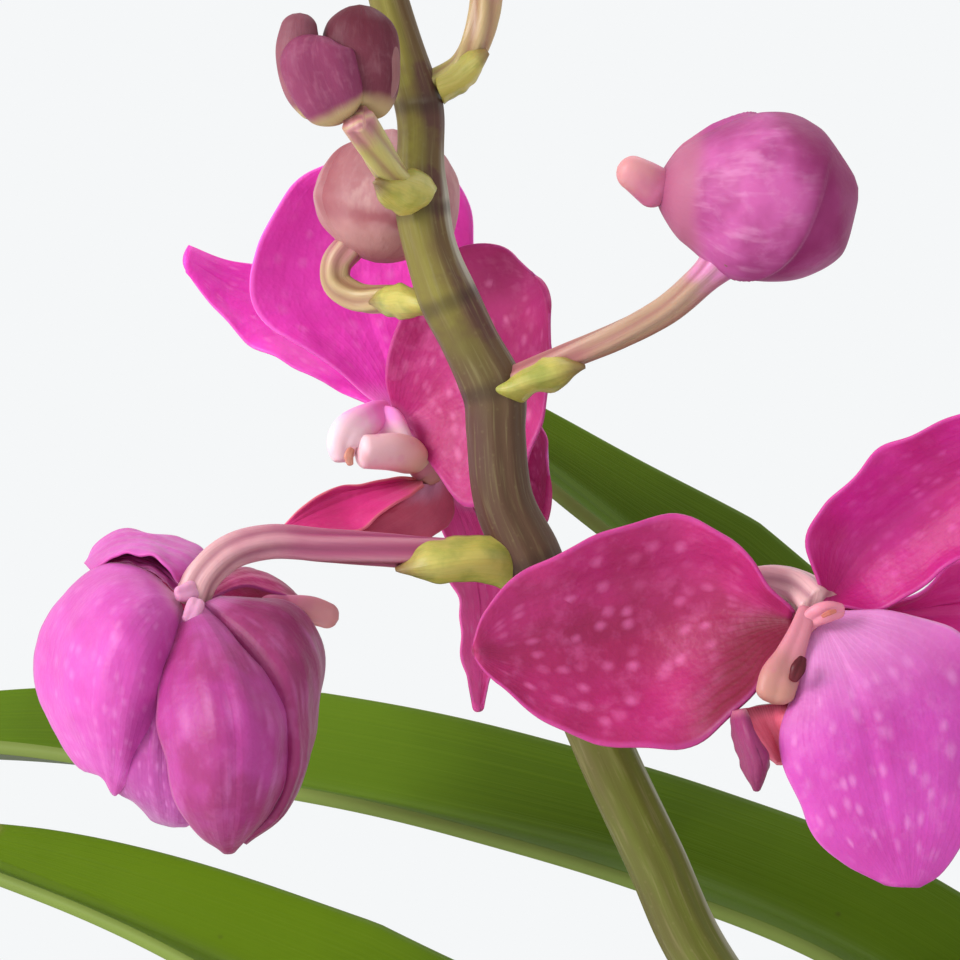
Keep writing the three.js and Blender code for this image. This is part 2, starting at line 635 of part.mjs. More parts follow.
function stalk(key, thin, thick) {
  return rod(STALKS[key].map(inSpray), (t) => thin + (thick - thin) * t, 9, 8);
}
function spur(key) {
  return rod(SPURS[key].map(inSpray), (t) => 2.7 - 1.5 * t * t, 5, 8);
}

// A bract: a small pointed scale under its stalk's foot
function bractBody(key, wide = 2.6) {
  const line = through(BRACTS[key].map(inSpray));
  const rows = [];
  for (let i = 0; i <= 6; i += 1) {
    const t = i / 6;
    const centre = line.getPointAt(t);
    const along = line.getTangentAt(t);
    const away = new THREE.Vector3(0, 0, -1).addScaledVector(along, along.z).normalize();
    const across = along.clone().cross(away);
    const half = wide * (t < 0.5 ? 1 : 1 - 0.8 * (t - 0.5) * 2);
    const row = [];
    for (const angle of [-80, -40, 0, 40, 80]) {
      const a = THREE.MathUtils.degToRad(angle);
      row.push(centre.clone()
        .addScaledVector(away, half * Math.cos(a))
        .addScaledVector(across, half * Math.sin(a)));
    }
    rows.push(row);
  }
  return blade(rows, 0.8);
}

const stem = stemBody();
const wideStem = stemBody(CLEARANCE);
const spike = spikeBody();
const wideSpike = spikeBody(CLEARANCE);
const wideRoot = (points) => rod(points.map(vector), () => ROOT_RADIUS + CLEARANCE, 8, 8);
const wideRoots = joined(ROOTS.map(wideRoot));

add('pot', potBody(), TERRACOTTA);
add('potting_bark', largest(barkBody().subtract(wideStem).subtract(wideRoots)), BARK_BROWN);
add('plant_stem', stem, STEM_GREEN);
LEFT_LEAVES.forEach((leaf, n) => {
  const blade = leafBody(leaf, -1).subtract(wideStem).subtract(wideSpike);
  add(`leaf_left_${n + 1}`, largest(blade), LEAF_GREEN);
});
RIGHT_LEAVES.forEach((leaf, n) => {
  add(`leaf_right_${n + 1}`, largest(leafBody(leaf, 1).subtract(wideStem)), LEAF_GREEN);
});
ROOTS.forEach((points, n) => {
  const root = rod(points.map(vector), (t) => ROOT_RADIUS * (1 - 0.15 * t), 8, 8);
  add(`aerial_root_${n + 1}`, largest(root.subtract(wideStem)), ROOT_GREY);
});
add('flower_spike', largest(spike.subtract(wideStem)), SPIKE_OLIVE);

const flowers = { a: FLOWER_A, b: FLOWER_B, c: FLOWER_C };
const lips = { a: FLOWER_A_LIP, b: FLOWER_B_LIP };
const columns = { a: FLOWER_A_COLUMN, b: FLOWER_B_COLUMN };
for (const [key, tepals] of Object.entries(flowers)) {
  const bodies = Object.values(tepals).map((lines) => tepal(lines));
  const heart = inSpray(STALKS[key].at(-1));
  let bloom = joined([...bodies, ball(heart, 2.4), stalk(key, 1.4, 2)]);
  if (SPURS[key]) bloom = bloom.add(spur(key));
  if (columns[key]) {
    const column = rod(columns[key].map(inSpray), (t) => 2.6 - 0.6 * t, 6, 10);
    const room = rod(columns[key].map(inSpray), (t) => 2.9 - 0.6 * t, 7, 12);
    const tongue = tepal(lips[key].tongue);
    const wideTongue = tepal(lips[key].tongue, TEPAL_THICKNESS + 2 * CLEARANCE);
    bloom = bloom.subtract(room).subtract(wideTongue);
    add(`flower_${key}_column`, column, COLUMN_CREAM);
    add(`flower_${key}_lip`, largest(tongue.subtract(room)), LIP_CRIMSON);
  }
  const colour = key === 'c' ? PETAL_LILAC : PETAL_MAGENTA;
  add(`flower_${key}_tepals`, largest(bloom.subtract(wideSpike)), colour);
}
for (const key of ['d', 'e', 'f', 'g']) {
  let bud = budBody(key).add(stalk(key, 1.2, 1.7));
  if (SPURS[key]) bud = bud.add(spur(key));
  add(`bud_${key}`, largest(bud.subtract(wideSpike)), BUD_PINK);
}
for (const key of Object.keys(BRACTS)) {
  const room = rod(STALKS[key].map(inSpray), (t) => 1.4 + CLEARANCE + 0.6 * t, 9, 8);
  add(`bract_${key}`, largest(bractBody(key).subtract(wideSpike).subtract(room)), BRACT_YELLOW);
}

export default plant;
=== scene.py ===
"""The looks of a potted vanda orchid: its flowers, buds, leaves, spike, roots, bark and pot.

Blender 4.5. Metres, +Z up, origin in the middle of the pot's underside, the flowers' side
towards -Y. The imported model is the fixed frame, and each piece here stands for one of its
nodes.
"""

from __future__ import annotations

import logging
import math
import random
from dataclasses import dataclass, field, replace
from enum import Enum
from typing import Callable, Iterable, Sequence

import bmesh
import bpy
import numpy as np
from mathutils import Matrix, Vector, noise

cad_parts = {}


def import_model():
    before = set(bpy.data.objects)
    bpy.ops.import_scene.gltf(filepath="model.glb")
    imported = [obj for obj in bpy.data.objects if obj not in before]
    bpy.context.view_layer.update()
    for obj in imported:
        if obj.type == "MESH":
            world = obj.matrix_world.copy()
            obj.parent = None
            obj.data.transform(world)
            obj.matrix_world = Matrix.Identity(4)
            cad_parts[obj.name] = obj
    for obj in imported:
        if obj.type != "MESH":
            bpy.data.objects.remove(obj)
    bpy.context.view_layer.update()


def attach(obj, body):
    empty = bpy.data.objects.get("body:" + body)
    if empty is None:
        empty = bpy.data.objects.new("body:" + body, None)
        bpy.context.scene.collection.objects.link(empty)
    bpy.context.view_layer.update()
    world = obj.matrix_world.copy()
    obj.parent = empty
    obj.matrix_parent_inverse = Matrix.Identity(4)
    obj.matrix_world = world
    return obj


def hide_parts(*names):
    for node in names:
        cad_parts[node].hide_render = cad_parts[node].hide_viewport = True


LOG = logging.getLogger("vanda")
MM = 0.001
SPRAY = Vector((-0.105, -0.015, 0.353))
GOLDEN_ANGLE = 2.39996
Points = Sequence[Sequence[float]]
Colour = tuple[float, float, float]
DARK_RING: Colour = (0.03, 0.014, 0.01)
DEAD_SCAR: Colour = (0.05, 0.035, 0.012)
DRY_TIP: Colour = (0.2, 0.14, 0.05)


@dataclass(frozen=True)
class Photo:
    """The photograph's view of the spray, which turns points read off it into millimetres.

    Attributes:
        middle: The pixel at the photograph's middle, across and down.
        pixel: Width of one pixel in the spray's own plane, in millimetres.
        distance: Distance from the eye to that plane, in millimetres.
        grain: Steps to a millimetre that a place is rounded to.
    """

    middle: float = 480
    pixel: float = 0.11
    distance: float = 600
    grain: float = 5

    def place(self, across: float, down: float, depth: float) -> list[float]:
        """Turns one read point into a place in the spray.

        Args:
            across: Pixels from the photograph's left edge.
            down: Pixels from its upper edge.
            depth: Millimetres behind the spray's plane, judged from how the parts overlap.

        Returns:
            Millimetres to the right, back and up from the spray's middle.
        """
        scale = self.pixel * (1 + depth / self.distance)
        spot = ((across - self.middle) * scale, depth, (self.middle - down) * scale)
        return [round(value * self.grain) / self.grain for value in spot]

    def places(self, read: dict | Points) -> dict | Points:
        """Turns read points, in a list or in named lists, into places in the spray.

        Args:
            read: A list of points, or a dictionary that leads to such lists.

        Returns:
            The same, with each point as a place.
        """
        if isinstance(read, dict):
            return {name: self.places(part) for name, part in read.items()}
        return [self.place(*point) for point in read]


PHOTO = Photo()


class Side(Enum):
    """Which face of a tepal is turned to the front of the spike."""

    INNER = "inner"
    OUTER = "outer"


class Value:
    """A shader socket that takes part in arithmetic, adding its Math nodes."""

    def __init__(self, graph: "Graph", socket: bpy.types.NodeSocket) -> None:
        """Keeps the graph and the socket that this value comes from."""
        self.graph = graph
        self.socket = socket

    def _math(self, operation: str, *others: "Value | float") -> "Value":
        """Adds one Math node.

        Args:
            operation: The Math node's operation.
            others: The values after this one.

        Returns:
            The node's result.
        """
        return self.graph.math(operation, self, *others)

    def __add__(self, other: "Value | float") -> "Value":
        """Returns self + other."""
        return self._math("ADD", other)

    def __radd__(self, other: float) -> "Value":
        """Returns other + self."""
        return self._math("ADD", other)

    def __sub__(self, other: "Value | float") -> "Value":
        """Returns self - other."""
        return self._math("SUBTRACT", other)

    def __rsub__(self, other: float) -> "Value":
        """Returns other - self."""
        return self.graph.math("SUBTRACT", other, self)

    def __mul__(self, other: "Value | float") -> "Value":
        """Returns self * other."""
        return self._math("MULTIPLY", other)

    def __rmul__(self, other: float) -> "Value":
        """Returns other * self."""
        return self._math("MULTIPLY", other)

    def __pow__(self, other: float) -> "Value":
        """Returns self to the power of other."""
        return self._math("POWER", other)

    def __abs__(self) -> "Value":
        """Returns the size of self without its sign."""
        return self._math("ABSOLUTE")

    def sine(self) -> "Value":
        """Returns the sine of self."""
        return self._math("SINE")

    def cosine(self) -> "Value":
        """Returns the cosine of self."""
        return self._math("COSINE")

    def fraction(self) -> "Value":
        """Returns the part of self after the point."""
        return self._math("FRACT")

    def step(self, low: float, high: float) -> "Value":
        """Eases from 0 at low to 1 at high, or from 1 to 0 where low is over high.

        Args:
            low: Where the result is 0.
            high: Where the result is 1.

        Returns:
            The eased value.
        """
        start, end = (low, high) if low < high else (high, low)
        ends = (0.0, 1.0) if low < high else (1.0, 0.0)
        made = self.graph.node(
            "ShaderNodeMapRange",
            {"interpolation_type": "SMOOTHSTEP"},
            {0: self, 1: start, 2: end, 3: ends[0], 4: ends[1]},
        )
        return Value(self.graph, made.outputs[0])


class Graph:
    """The nodes of one material."""

    def __init__(self, name: str) -> None:
        """Starts an empty material of that name."""
        self.material = bpy.data.materials.new(name)
        self.material.use_nodes = True
        self.tree = self.material.node_tree
        self.tree.nodes.clear()
        self.coordinates = self.node("ShaderNodeTexCoord")

    def node(self, kind: str, settings: dict | None = None, inputs: dict | None = None) -> bpy.types.Node:
        """Adds a node.

        Args:
            kind: The node's type.
            settings: Its own settings, which are made first.
            inputs: Socket name or number to a value or a link.

        Returns:
            The node.
        """
        made = self.tree.nodes.new(kind)
        for key, value in (settings or {}).items():
            setattr(made, key, value)
        for key, value in (inputs or {}).items():
            self.feed(made.inputs[key], value)
        return made

    def feed(self, socket: bpy.types.NodeSocket, value: object) -> None:
        """Links a value to a socket, or sets a constant on it."""
        if isinstance(value, Value):
            self.tree.links.new(value.socket, socket)
        elif isinstance(value, bpy.types.NodeSocket):
            self.tree.links.new(value, socket)
        elif isinstance(value, tuple) and len(value) == 3 and socket.type == "RGBA":
            socket.default_value = (*value, 1.0)
        else:
            socket.default_value = value

    def math(self, operation: str, *values: "Value | float") -> Value:
        """Adds a Math node on the values and returns its result."""
        made = self.node("ShaderNodeMath", {"operation": operation}, dict(enumerate(values)))
        return Value(self, made.outputs[0])

    def place(self, scale: Sequence[float] = (1, 1, 1), turn: Sequence[float] = (0, 0, 0)) -> Value:
        """Object coordinates through a Mapping node."""
        made = self.node(
            "ShaderNodeMapping",
            {},
            {"Vector": self.coordinates.outputs["Object"], "Scale": tuple(scale), "Rotation": tuple(turn)},
        )
        return Value(self, made.outputs[0])

    def surface_place(self, scale: Sequence[float] = (1, 1, 1)) -> Value:
        """The piece's own UV map through a Mapping node."""
        made = self.node(
            "ShaderNodeMapping",
            {},
            {"Vector": self.coordinates.outputs["UV"], "Scale": tuple(scale)},
        )
        return Value(self, made.outputs[0])

    def across_and_along(self) -> tuple[Value, Value]:
        """The UV map's two numbers, across the piece and along it."""
        made = self.node("ShaderNodeSeparateXYZ", {}, {0: self.coordinates.outputs["UV"]})
        return Value(self, made.outputs[0]), Value(self, made.outputs[1])

    def height(self) -> Value:
        """The height above the pot's underside, in metres."""
        made = self.node("ShaderNodeSeparateXYZ", {}, {0: self.coordinates.outputs["Object"]})
        return Value(self, made.outputs[2])

    def noise(self, place: Value, scale: float, detail: float = 3.0, rough: float = 0.5) -> Value:
        """Soft noise between 0 and 1."""
        made = self.node(
            "ShaderNodeTexNoise",
            {},
            {"Vector": place, "Scale": scale, "Detail": detail, "Roughness": rough},
        )
        return Value(self, made.outputs[0])

    def cells(self, place: Value, scale: float) -> Value:
        """Distance to the nearest of scattered points."""
        made = self.node(
            "ShaderNodeTexVoronoi",
            {"feature": "F1"},
            {"Vector": place, "Scale": scale, "Randomness": 1.0},
        )
        return Value(self, made.outputs["Distance"])

    def spots(self, place: Value, spread: float = 1.0) -> Value:
        """Soft round spots of uneven size and strength on the UV map, one to a square of it."""
        made = self.node(
            "ShaderNodeTexVoronoi",
            {"voronoi_dimensions": "2D"},
            {"Vector": place, "Scale": 1.0, "Randomness": spread},
        )
        lot = Value(self, made.outputs["Color"])
        size = Value(self, made.outputs["Distance"]) + self.noise(place, 3.0, 2.0) * 0.16 - 0.08
        return (size + lot * 0.12).step(0.46, 0.1) * lot.step(0.15, 0.75)

    def mix(self, amount: "Value | float", first: object, second: object) -> Value:
        """Blends two colours by an amount from 0 to 1."""
        made = self.node("ShaderNodeMix", {"data_type": "RGBA"}, {0: amount, 6: first, 7: second})
        return Value(self, made.outputs[2])

    def bump(self, height: Value, distance: float, strength: float) -> Value:
        """Turns a height into a normal."""
        inputs = {"Height": height, "Distance": distance, "Strength": strength}
        return Value(self, self.node("ShaderNodeBump", {}, inputs).outputs[0])

    def finish(
        self, colour: object, roughness: object, normal: Value | None = None, **constants: float,
    ) -> bpy.types.Material:
        """Closes the graph with a Principled surface.

        Args:
            colour: Base colour, as a value or three numbers.
            roughness: Roughness, as a value or a number.
            normal: The bumped normal.
            constants: Other sockets by name, with _ for a space.

        Returns:
            The finished material.
        """
        inputs: dict = {"Base Color": colour, "Roughness": roughness}
        if normal is not None:
            inputs["Normal"] = normal
        for key, value in constants.items():
            inputs[key.replace("_", " ").title().replace("Ior", "IOR")] = value
        shader = self.node("ShaderNodeBsdfPrincipled", {}, inputs)
        self.node("ShaderNodeOutputMaterial", {}, {"Surface": shader.outputs[0]})
        return self.material


@dataclass(frozen=True)
class PetalFinish:
    """Velvety tepal skin: fanned veins, rows of pale spots and a streaked throat, which on some finishes is
    dark painted shade by the column.

    Attributes:
        name: The material's name.
        base: Its main colour.
        deep: The darker colour of its patches, its veins and its core.
        pale: The colour of the spots.
        throat: The colour at the claw, on some finishes a painted shade by the column.
        rim: The colour of the thin edge.
        spots: Strength of the spots.
        across: Rows of spots over the width.
        along: Spots in one row.
        throat_end: How far the throat's colour reaches.
        lean: How much further it reaches along the second edge.
        core: Strength of the darker patch along the middle.
        tip: Strength of the darker colour at the tip.
    """

    name: str
    base: Colour
    deep: Colour
    pale: Colour
    throat: Colour
    rim: Colour
    spots: float = 0.6
    across: float = 10.0
    along: float = 13.0
    throat_end: float = 0.3
    lean: float = 0.0
    core: float = 0.0
    tip: float = 0.0

    def material(self) -> bpy.types.Material:
        """Builds the finish.

        Returns:
            The material.
        """
        g = Graph(self.name)
        across, along = g.across_and_along()
        place = g.place()
        cloud = g.noise(place, 130.0, 3.0, 0.55)
        grain = g.noise(place, 420.0, 3.0, 0.6)
        fine = g.noise(place, 1100.0, 2.0, 0.6)
        colour = g.mix(cloud.step(0.38, 0.66) * 0.6, self.base, self.deep)
        middle = abs(across - 0.52 + (cloud - 0.5) * 0.3).step(0.3, 0.05)
        colour = g.mix(middle * along.step(0.02, 0.25) * self.core, colour, self.deep)
        colour = g.mix((along + (cloud - 0.5) * 0.4).step(0.62, 1.02) * self.tip, colour, self.deep)
        rows = g.surface_place((self.across, self.along, 1.0))
        drift = g.noise(rows, 0.5, 2.0)
        veins = ((across * (self.across * 4 * math.pi) + drift * 5.0).sine() * 0.5 + 0.5) ** 4.0
        colour = g.mix(veins * 0.04, colour, self.deep)
        colour = g.mix(grain.step(0.5, 0.72) * 0.32 * self.spots, colour, self.pale)
        dots = g.spots(rows, 0.85) * g.noise(rows, 0.45, 1.0).step(0.26, 0.52)
        away = along.step(0.06, 0.28) * along.step(1.0, 0.8) * abs(across - 0.5).step(0.5, 0.36)
        colour = g.mix(dots * away * self.spots, colour, self.pale)
        reach = along - (across - 0.5) * self.lean
        throat_and_shade = reach.step(self.throat_end, 0.01) * (0.85 + 0.15 * veins)
        colour = g.mix(throat_and_shade, colour, self.throat)
        edge = abs(across - 0.5).step(0.472, 0.5)
        colour = g.mix(edge * 0.4, colour, self.rim)
        relief = fine * 0.35 + veins * 0.08 + g.cells(place, 1600.0) * 0.25 + grain * 0.5
        normal = g.bump(relief, 0.00025, 0.5)
        return g.finish(
            colour,
            0.44 + 0.16 * grain,
            normal,
            subsurface_weight=0.1,
            subsurface_scale=0.0012,
            sheen_weight=0.08,
            sheen_roughness=0.4,
            specular_ior_level=0.35,
        )


@dataclass(frozen=True)
class BudFinish:
    """Skin of a closed bud, whose sepals overlap along winding seams.

    Attributes:
        name: The material's name.
        base: Main colour of the sepals.
        deep: Colour of the patches, also laid beside the seams as painted shade.
        pale: Colour of the streaks.
        foot: Colour at the stalk.
        seams: The bud's seams, which the relief follows too.
        collar: How far the foot's colour reaches.
        streaks: Strength of the pale streaks.
        tip: Strength of the darker colour at the tip.
        crown: Height over which its upper end turns deep.
        blush: Strength of the dark patch low on the front.
    """

    name: str
    base: Colour
    deep: Colour
    pale: Colour
    foot: Colour
    seams: "Seams"
    collar: float = 0.2
    streaks: float = 0.5
    tip: float = 0.2
    crown: tuple[float, float] = (1.0, 1.01)
    blush: float = 0.0

    def material(self) -> bpy.types.Material:
        """Builds the finish.

        Returns:
            The material.
        """
        g = Graph(self.name)
        across, along = g.across_and_along()
        place = g.place()
        cloud = g.noise(place, 150.0, 3.0, 0.55)
        grain = g.noise(place, 520.0, 3.0, 0.6)
        turn = across * float(self.seams.count) + (along ** 3.0) * self.seams.wind - self.seams.start
        phase = turn.fraction()
        strands = g.noise(g.surface_place((16.0, 2.2, 1.0)), 1.6, 3.0, 0.6)
        colour = g.mix(cloud.step(0.36, 0.66) * 0.55, self.base, self.deep)
        colour = g.mix(strands.step(0.48, 0.7) * phase.step(0.1, 0.4) * self.streaks, colour, self.pale)
        colour = g.mix(grain.step(0.52, 0.72) * 0.2, colour, self.pale)
        # Painted shade: darker on both sides of each seam, where the sepals overlap.
        colour = g.mix(phase.step(0.3, 0.0) * 0.75, colour, self.deep)
        colour = g.mix(phase.step(0.84, 0.99) * 0.45, colour, self.deep)
        colour = g.mix((along + (cloud - 0.5) * 0.3).step(0.55, 0.95) * self.tip, colour, self.deep)
        rise = g.height() + along * 0.023 + (cloud - 0.5) * 0.004
        colour = g.mix(rise.step(*self.crown) * 0.85, colour, self.deep)
        low = abs(along - 0.27 + (cloud - 0.5) * 0.5).step(0.13, 0.02)
        front = (across * (2 * math.pi)).cosine().step(0.72, 0.99)
        colour = g.mix(low * front * self.blush, colour, self.deep)
        foot = along + (cloud - 0.5) * 0.12
        colour = g.mix(foot.step(self.collar, self.collar * 0.55), colour, self.foot)
        colour = g.mix(foot.step(self.collar * 0.4, 0.0) * 0.5, colour, self.deep)
        normal = g.bump(strands * 0.5 + grain * 0.5 + g.noise(place, 1500.0) * 0.25, 0.00028, 0.5)
        return g.finish(
            colour, 0.46 + 0.16 * grain, normal, subsurface_weight=0.1, subsurface_scale=0.0012,
            specular_ior_level=0.22,
        )


@dataclass(frozen=True)
class StalkFinish:
    """Ribbed flower stalk, its colour changing from the spike to the flower.

    Attributes:
        name: The material's name.
        foot: Colour at the spike.
        middle: Colour half way.
        head: Colour under the flower.
        rib: Colour of the ribs.
        furrow: Colour between them.
        ribs: How many there are.
        turns: How far they wind round the stalk.
        head_start: Where the head's colour starts.
    """

    name: str
    foot: Colour
    middle: Colour
    head: Colour
    rib: Colour
    furrow: Colour
    ribs: int = 6
    turns: float = 0.25
    head_start: float = 0.8

    def material(self) -> bpy.types.Material:
        """Builds the finish.

        Returns:
            The material.
        """
        g = Graph(self.name)
        across, along = g.across_and_along()
        place = g.place()
        cloud = g.noise(place, 300.0, 3.0)
        reach = along + (cloud - 0.5) * 0.25
        colour = g.mix(reach.step(0.15, 0.6), self.foot, self.middle)
        colour = g.mix(reach.step(self.head_start, 0.97), colour, self.head)
        wave = ((across + along * self.turns) * (self.ribs * 2 * math.pi)).cosine() * 0.5 + 0.5
        grain = g.noise(g.surface_place((22.0, 3.0, 1.0)), 2.0, 3.0, 0.6)
        colour = g.mix((wave ** 2.5) * 0.4, colour, self.rib)
        colour = g.mix(((1.0 - wave) ** 3.0) * 0.55, colour, self.furrow)
        colour = g.mix(grain.step(0.45, 0.75) * 0.22, colour, self.furrow)
        normal = g.bump(grain * 0.6 + g.noise(place, 1400.0) * 0.3, 0.00016, 0.5)
        return g.finish(
            colour, 0.36 + 0.14 * cloud, normal, subsurface_weight=0.1, subsurface_scale=0.001
        )


@dataclass(frozen=True)
class SpikeFinish:
    """Skin of the flower spike: olive green flushed brown-purple, with fine long ribs.

    Attributes:
        name: The material's name.
        green: Colour of the lower stretch.
        young: Colour of the upper stretch.
        flush: Colour of the side that the sun has tanned, of the middle stretch, and of the upper stretch's
            side away from the key light, where it is partly painted shade.
        light: Colour of the streaks.
        skin: Colour of the dry, lifted skin, also laid as a pale band down one edge of the spike, which is
            partly dry skin and partly painted highlight.
        rings: Heights of the nodes, as shares of the spike's length.
    """

    name: str
    green: Colour
    young: Colour
    flush: Colour
    light: Colour
    skin: Colour
    rings: tuple[float, ...]

    def material(self) -> bpy.types.Material:
        """Builds the finish.

        Returns:
            The material.
        """
        g = Graph(self.name)
        across, along = g.across_and_along()
        place = g.place()
        patches = g.noise(place, 60.0, 4.0, 0.6)
        streaks = g.noise(g.surface_place((30.0, 22.0, 1.0)), 1.6, 3.0)
        height = g.height() + (patches - 0.5) * 0.012
        top = height.step(0.357, 0.374)
        side = (across * (2 * math.pi)).sine()
        mottle = g.noise(place, 110.0, 4.0, 0.65).step(0.48, 0.62)
        colour = g.mix(top, self.green, self.young)
        tan = (patches - side * 0.3).step(0.45, 0.9) * 0.35
        brown = height.step(0.328, 0.345) * (1.0 - top) * 0.85 + tan
        # In the upper stretch the flush lies heavier on the side away from the key light: partly the
        # spike's own flush, partly painted shade.
        brown = brown + top * ((side + patches).step(0.35, 1.1) * 0.75 + mottle * 0.35)
        colour = g.mix(brown, colour, self.flush)
        colour = g.mix(streaks.step(0.5, 0.72) * 0.35, colour, self.light)
        ribs = (across * (11 * 2 * math.pi) + streaks * 2.5).sine() * 0.5 + 0.5
        colour = g.mix(ribs * 0.14, colour, self.flush)
        # A pale band down the right edge, near the upper node and low on the spike: partly dry skin, partly
        # painted highlight.
        rim = abs(across - 0.25 + (streaks - 0.5) * 0.05)
        high = height.step(0.371, 0.378) * height.step(0.391, 0.385) * rim.step(0.11, 0.05) * 0.75
        skin = high + height.step(0.33, 0.31) * rim.step(0.09, 0.03) * 0.6
        colour = g.mix(skin, colour, self.skin)
        specks = g.cells(place, 900.0).step(0.22, 0.08)
        colour = g.mix(specks * 0.14, colour, self.light)
        for ring in self.rings:
            away = along - ring + (patches - 0.5) * 0.012
            scar = patches.step(0.52, 0.66) * mottle * 0.4
            colour = g.mix(abs(away + 0.003).step(0.006, 0.0005) * 0.5, colour, DARK_RING)
            colour = g.mix(abs(away).step(0.003, 0.0006) * scar, colour, self.skin)
        normal = g.bump(ribs * 0.4 + streaks * 0.5 + g.noise(place, 1300.0) * 0.25, 0.00016, 0.6)
        return g.finish(colour, 0.4 + 0.16 * patches, normal, specular_ior_level=0.22)


@dataclass(frozen=True)
class LeafFinish:
    """Leathery strap leaf: fine long veins, with a paler keel line and a thin pale margin painted on as
    highlights.
    """

    name: str
    base: Colour
    deep: Colour
    light: Colour
    edge_highlight: Colour
    rough: float = 0.42
    shine: float = 0.16

    def material(self) -> bpy.types.Material:
        """Builds the finish.

        Returns:
            The material.
        """
        g = Graph(self.name)
        across, along = g.across_and_along()
        place = g.place()
        cloud = g.noise(place, 26.0, 3.0)
        strands = g.noise(g.surface_place((60.0, 1.2, 1.0)), 1.0, 3.0, 0.6)
        fine = g.noise(g.surface_place((200.0, 7.0, 1.0)), 1.0, 2.0)
        colour = g.mix(cloud.step(0.35, 0.65), self.base, self.deep)
        colour = g.mix(strands.step(0.42, 0.7) * 0.22, colour, self.light)
        colour = g.mix(fine.step(0.55, 0.8) * 0.16, colour, self.deep)
        # Painted highlights: a paler line along the keel and a pale line along both edges.
        keel = abs(across - 0.5).step(0.022, 0.004)
        colour = g.mix(keel * 0.15, colour, self.light)
        edge = abs(across - 0.5).step(0.4935, 0.4985)
        colour = g.mix(edge * 0.6, colour, self.edge_highlight)
        scars = g.cells(place, 150.0).step(0.09, 0.03) * g.noise(place, 60.0).step(0.56, 0.62)
        colour = g.mix(scars * 0.6, colour, DEAD_SCAR)
        tip = along.step(0.985, 1.0) * 0.5
        colour = g.mix(tip, colour, DRY_TIP)
        normal = g.bump(strands * 0.7 + fine * 0.3, 0.00022, 0.5)
        return g.finish(colour, self.rough + 0.12 * strands, normal, specular_ior_level=self.shine)


@dataclass(frozen=True)
class BractFinish:
    """Papery bract: yellow-green with a brown tip and edges."""

    name: str
    fresh: Colour
    green: Colour
    brown: Colour

    def material(self) -> bpy.types.Material:
        """Builds the finish.

        Returns:
            The material.
        """
        g = Graph(self.name)
        across, along = g.across_and_along()
        place = g.place()
        cloud = g.noise(place, 240.0, 4.0, 0.6)
        strands = g.noise(g.surface_place((24.0, 2.0, 1.0)), 1.0, 3.0)
        colour = g.mix(cloud.step(0.4, 0.7), self.fresh, self.green)
        colour = g.mix(strands.step(0.4, 0.7) * 0.25, colour, self.green)
        aged = (along + cloud * 0.3).step(0.8, 1.12) + abs(across - 0.5).step(0.46, 0.5) * 0.4
        colour = g.mix(aged * 0.75, colour, self.brown)
        normal = g.bump(strands + g.noise(place, 1600.0) * 0.3, 0.0002, 0.5)
        return g.finish(colour, 0.46, normal, subsurface_weight=0.1, subsurface_scale=0.001)


@dataclass(frozen=True)
class WaxFinish:
    """Waxy flesh of the column and lip: one colour running into another, with flecks."""

    name: str
    base: Colour
    end: Colour
    fleck: Colour
    flecks: float = 0.3
    start: float = 0.3
    stop: float = 0.9

    def material(self) -> bpy.types.Material:
        """Builds the finish.

        Returns:
            The material.
        """
        g = Graph(self.name)
        _, along = g.across_and_along()
        place = g.place()
        cloud = g.noise(place, 320.0, 3.0, 0.6)
        colour = g.mix((along + (cloud - 0.5) * 0.5).step(self.start, self.stop), self.base, self.end)
        spots = g.cells(place, 520.0).step(0.34, 0.14) * cloud.step(0.42, 0.6)
        colour = g.mix(spots * self.flecks, colour, self.fleck)
        normal = g.bump(cloud * 0.6 + g.noise(place, 1700.0) * 0.3, 0.00015, 0.45)
        return g.finish(
            colour, 0.45, normal, subsurface_weight=0.2, subsurface_scale=0.0014, specular_ior_level=0.3
        )


@dataclass(frozen=True)
class TerracottaFinish:
    """Unglazed clay: banded by the wheel, with lime bloom that is heavier near the foot."""

    name: str
    clay: Colour
    dark: Colour
    bloom: Colour

    def material(self) -> bpy.types.Material:
        """Builds the finish.

        Returns:
            The material.
        """
        g = Graph(self.name)
        place = g.place()
        bands = g.noise(g.place((4.0, 4.0, 160.0)), 1.6, 3.0)
        cloud = g.noise(place, 26.0, 5.0, 0.65)
        grit = g.noise(place, 900.0, 3.0, 0.7)
        colour = g.mix(cloud.step(0.35, 0.7), self.clay, self.dark)
        colour = g.mix(bands.step(0.5, 0.75) * 0.25, colour, self.dark)
        low = g.height().step(0.045, 0.0)
        lime = g.noise(place, 48.0, 5.0, 0.7).step(0.52, 0.68) * (0.25 + 0.5 * low)
        colour = g.mix(lime, colour, self.bloom)
        pits = g.cells(place, 420.0).step(0.16, 0.05)
        colour = g.mix(pits * 0.35, colour, self.dark)
        normal = g.bump(grit * 0.5 + bands * 0.5 - pits * 0.4, 0.0004, 0.5)
        return g.finish(colour, 0.78 + 0.14 * grit, normal, specular_ior_level=0.25)


@dataclass(frozen=True)
class BarkFinish:
    """Fir bark chips: layered red-brown to grey."""

    name: str
    warm: Colour
    dark: Colour
    grey: Colour

    def material(self) -> bpy.types.Material:
        """Builds the finish.

        Returns:
            The material.
        """
        g = Graph(self.name)
        place = g.place()
        patches = g.cells(place, 95.0)
        layers = g.noise(g.place((60.0, 60.0, 900.0), (0.5, 0.3, 0.0)), 1.0, 4.0, 0.65)
        grain = g.noise(place, 420.0, 5.0, 0.7)
        colour = g.mix(patches.step(0.2, 0.65), self.warm, self.dark)
        colour = g.mix(layers.step(0.48, 0.62) * 0.6, colour, self.dark)
        colour = g.mix(g.noise(place, 70.0).step(0.56, 0.68) * 0.55, colour, self.grey)
        normal = g.bump(layers * 0.6 + grain * 0.6, 0.0009, 0.7)
        return g.finish(colour, 0.82 + 0.12 * grain, normal, specular_ior_level=0.2)


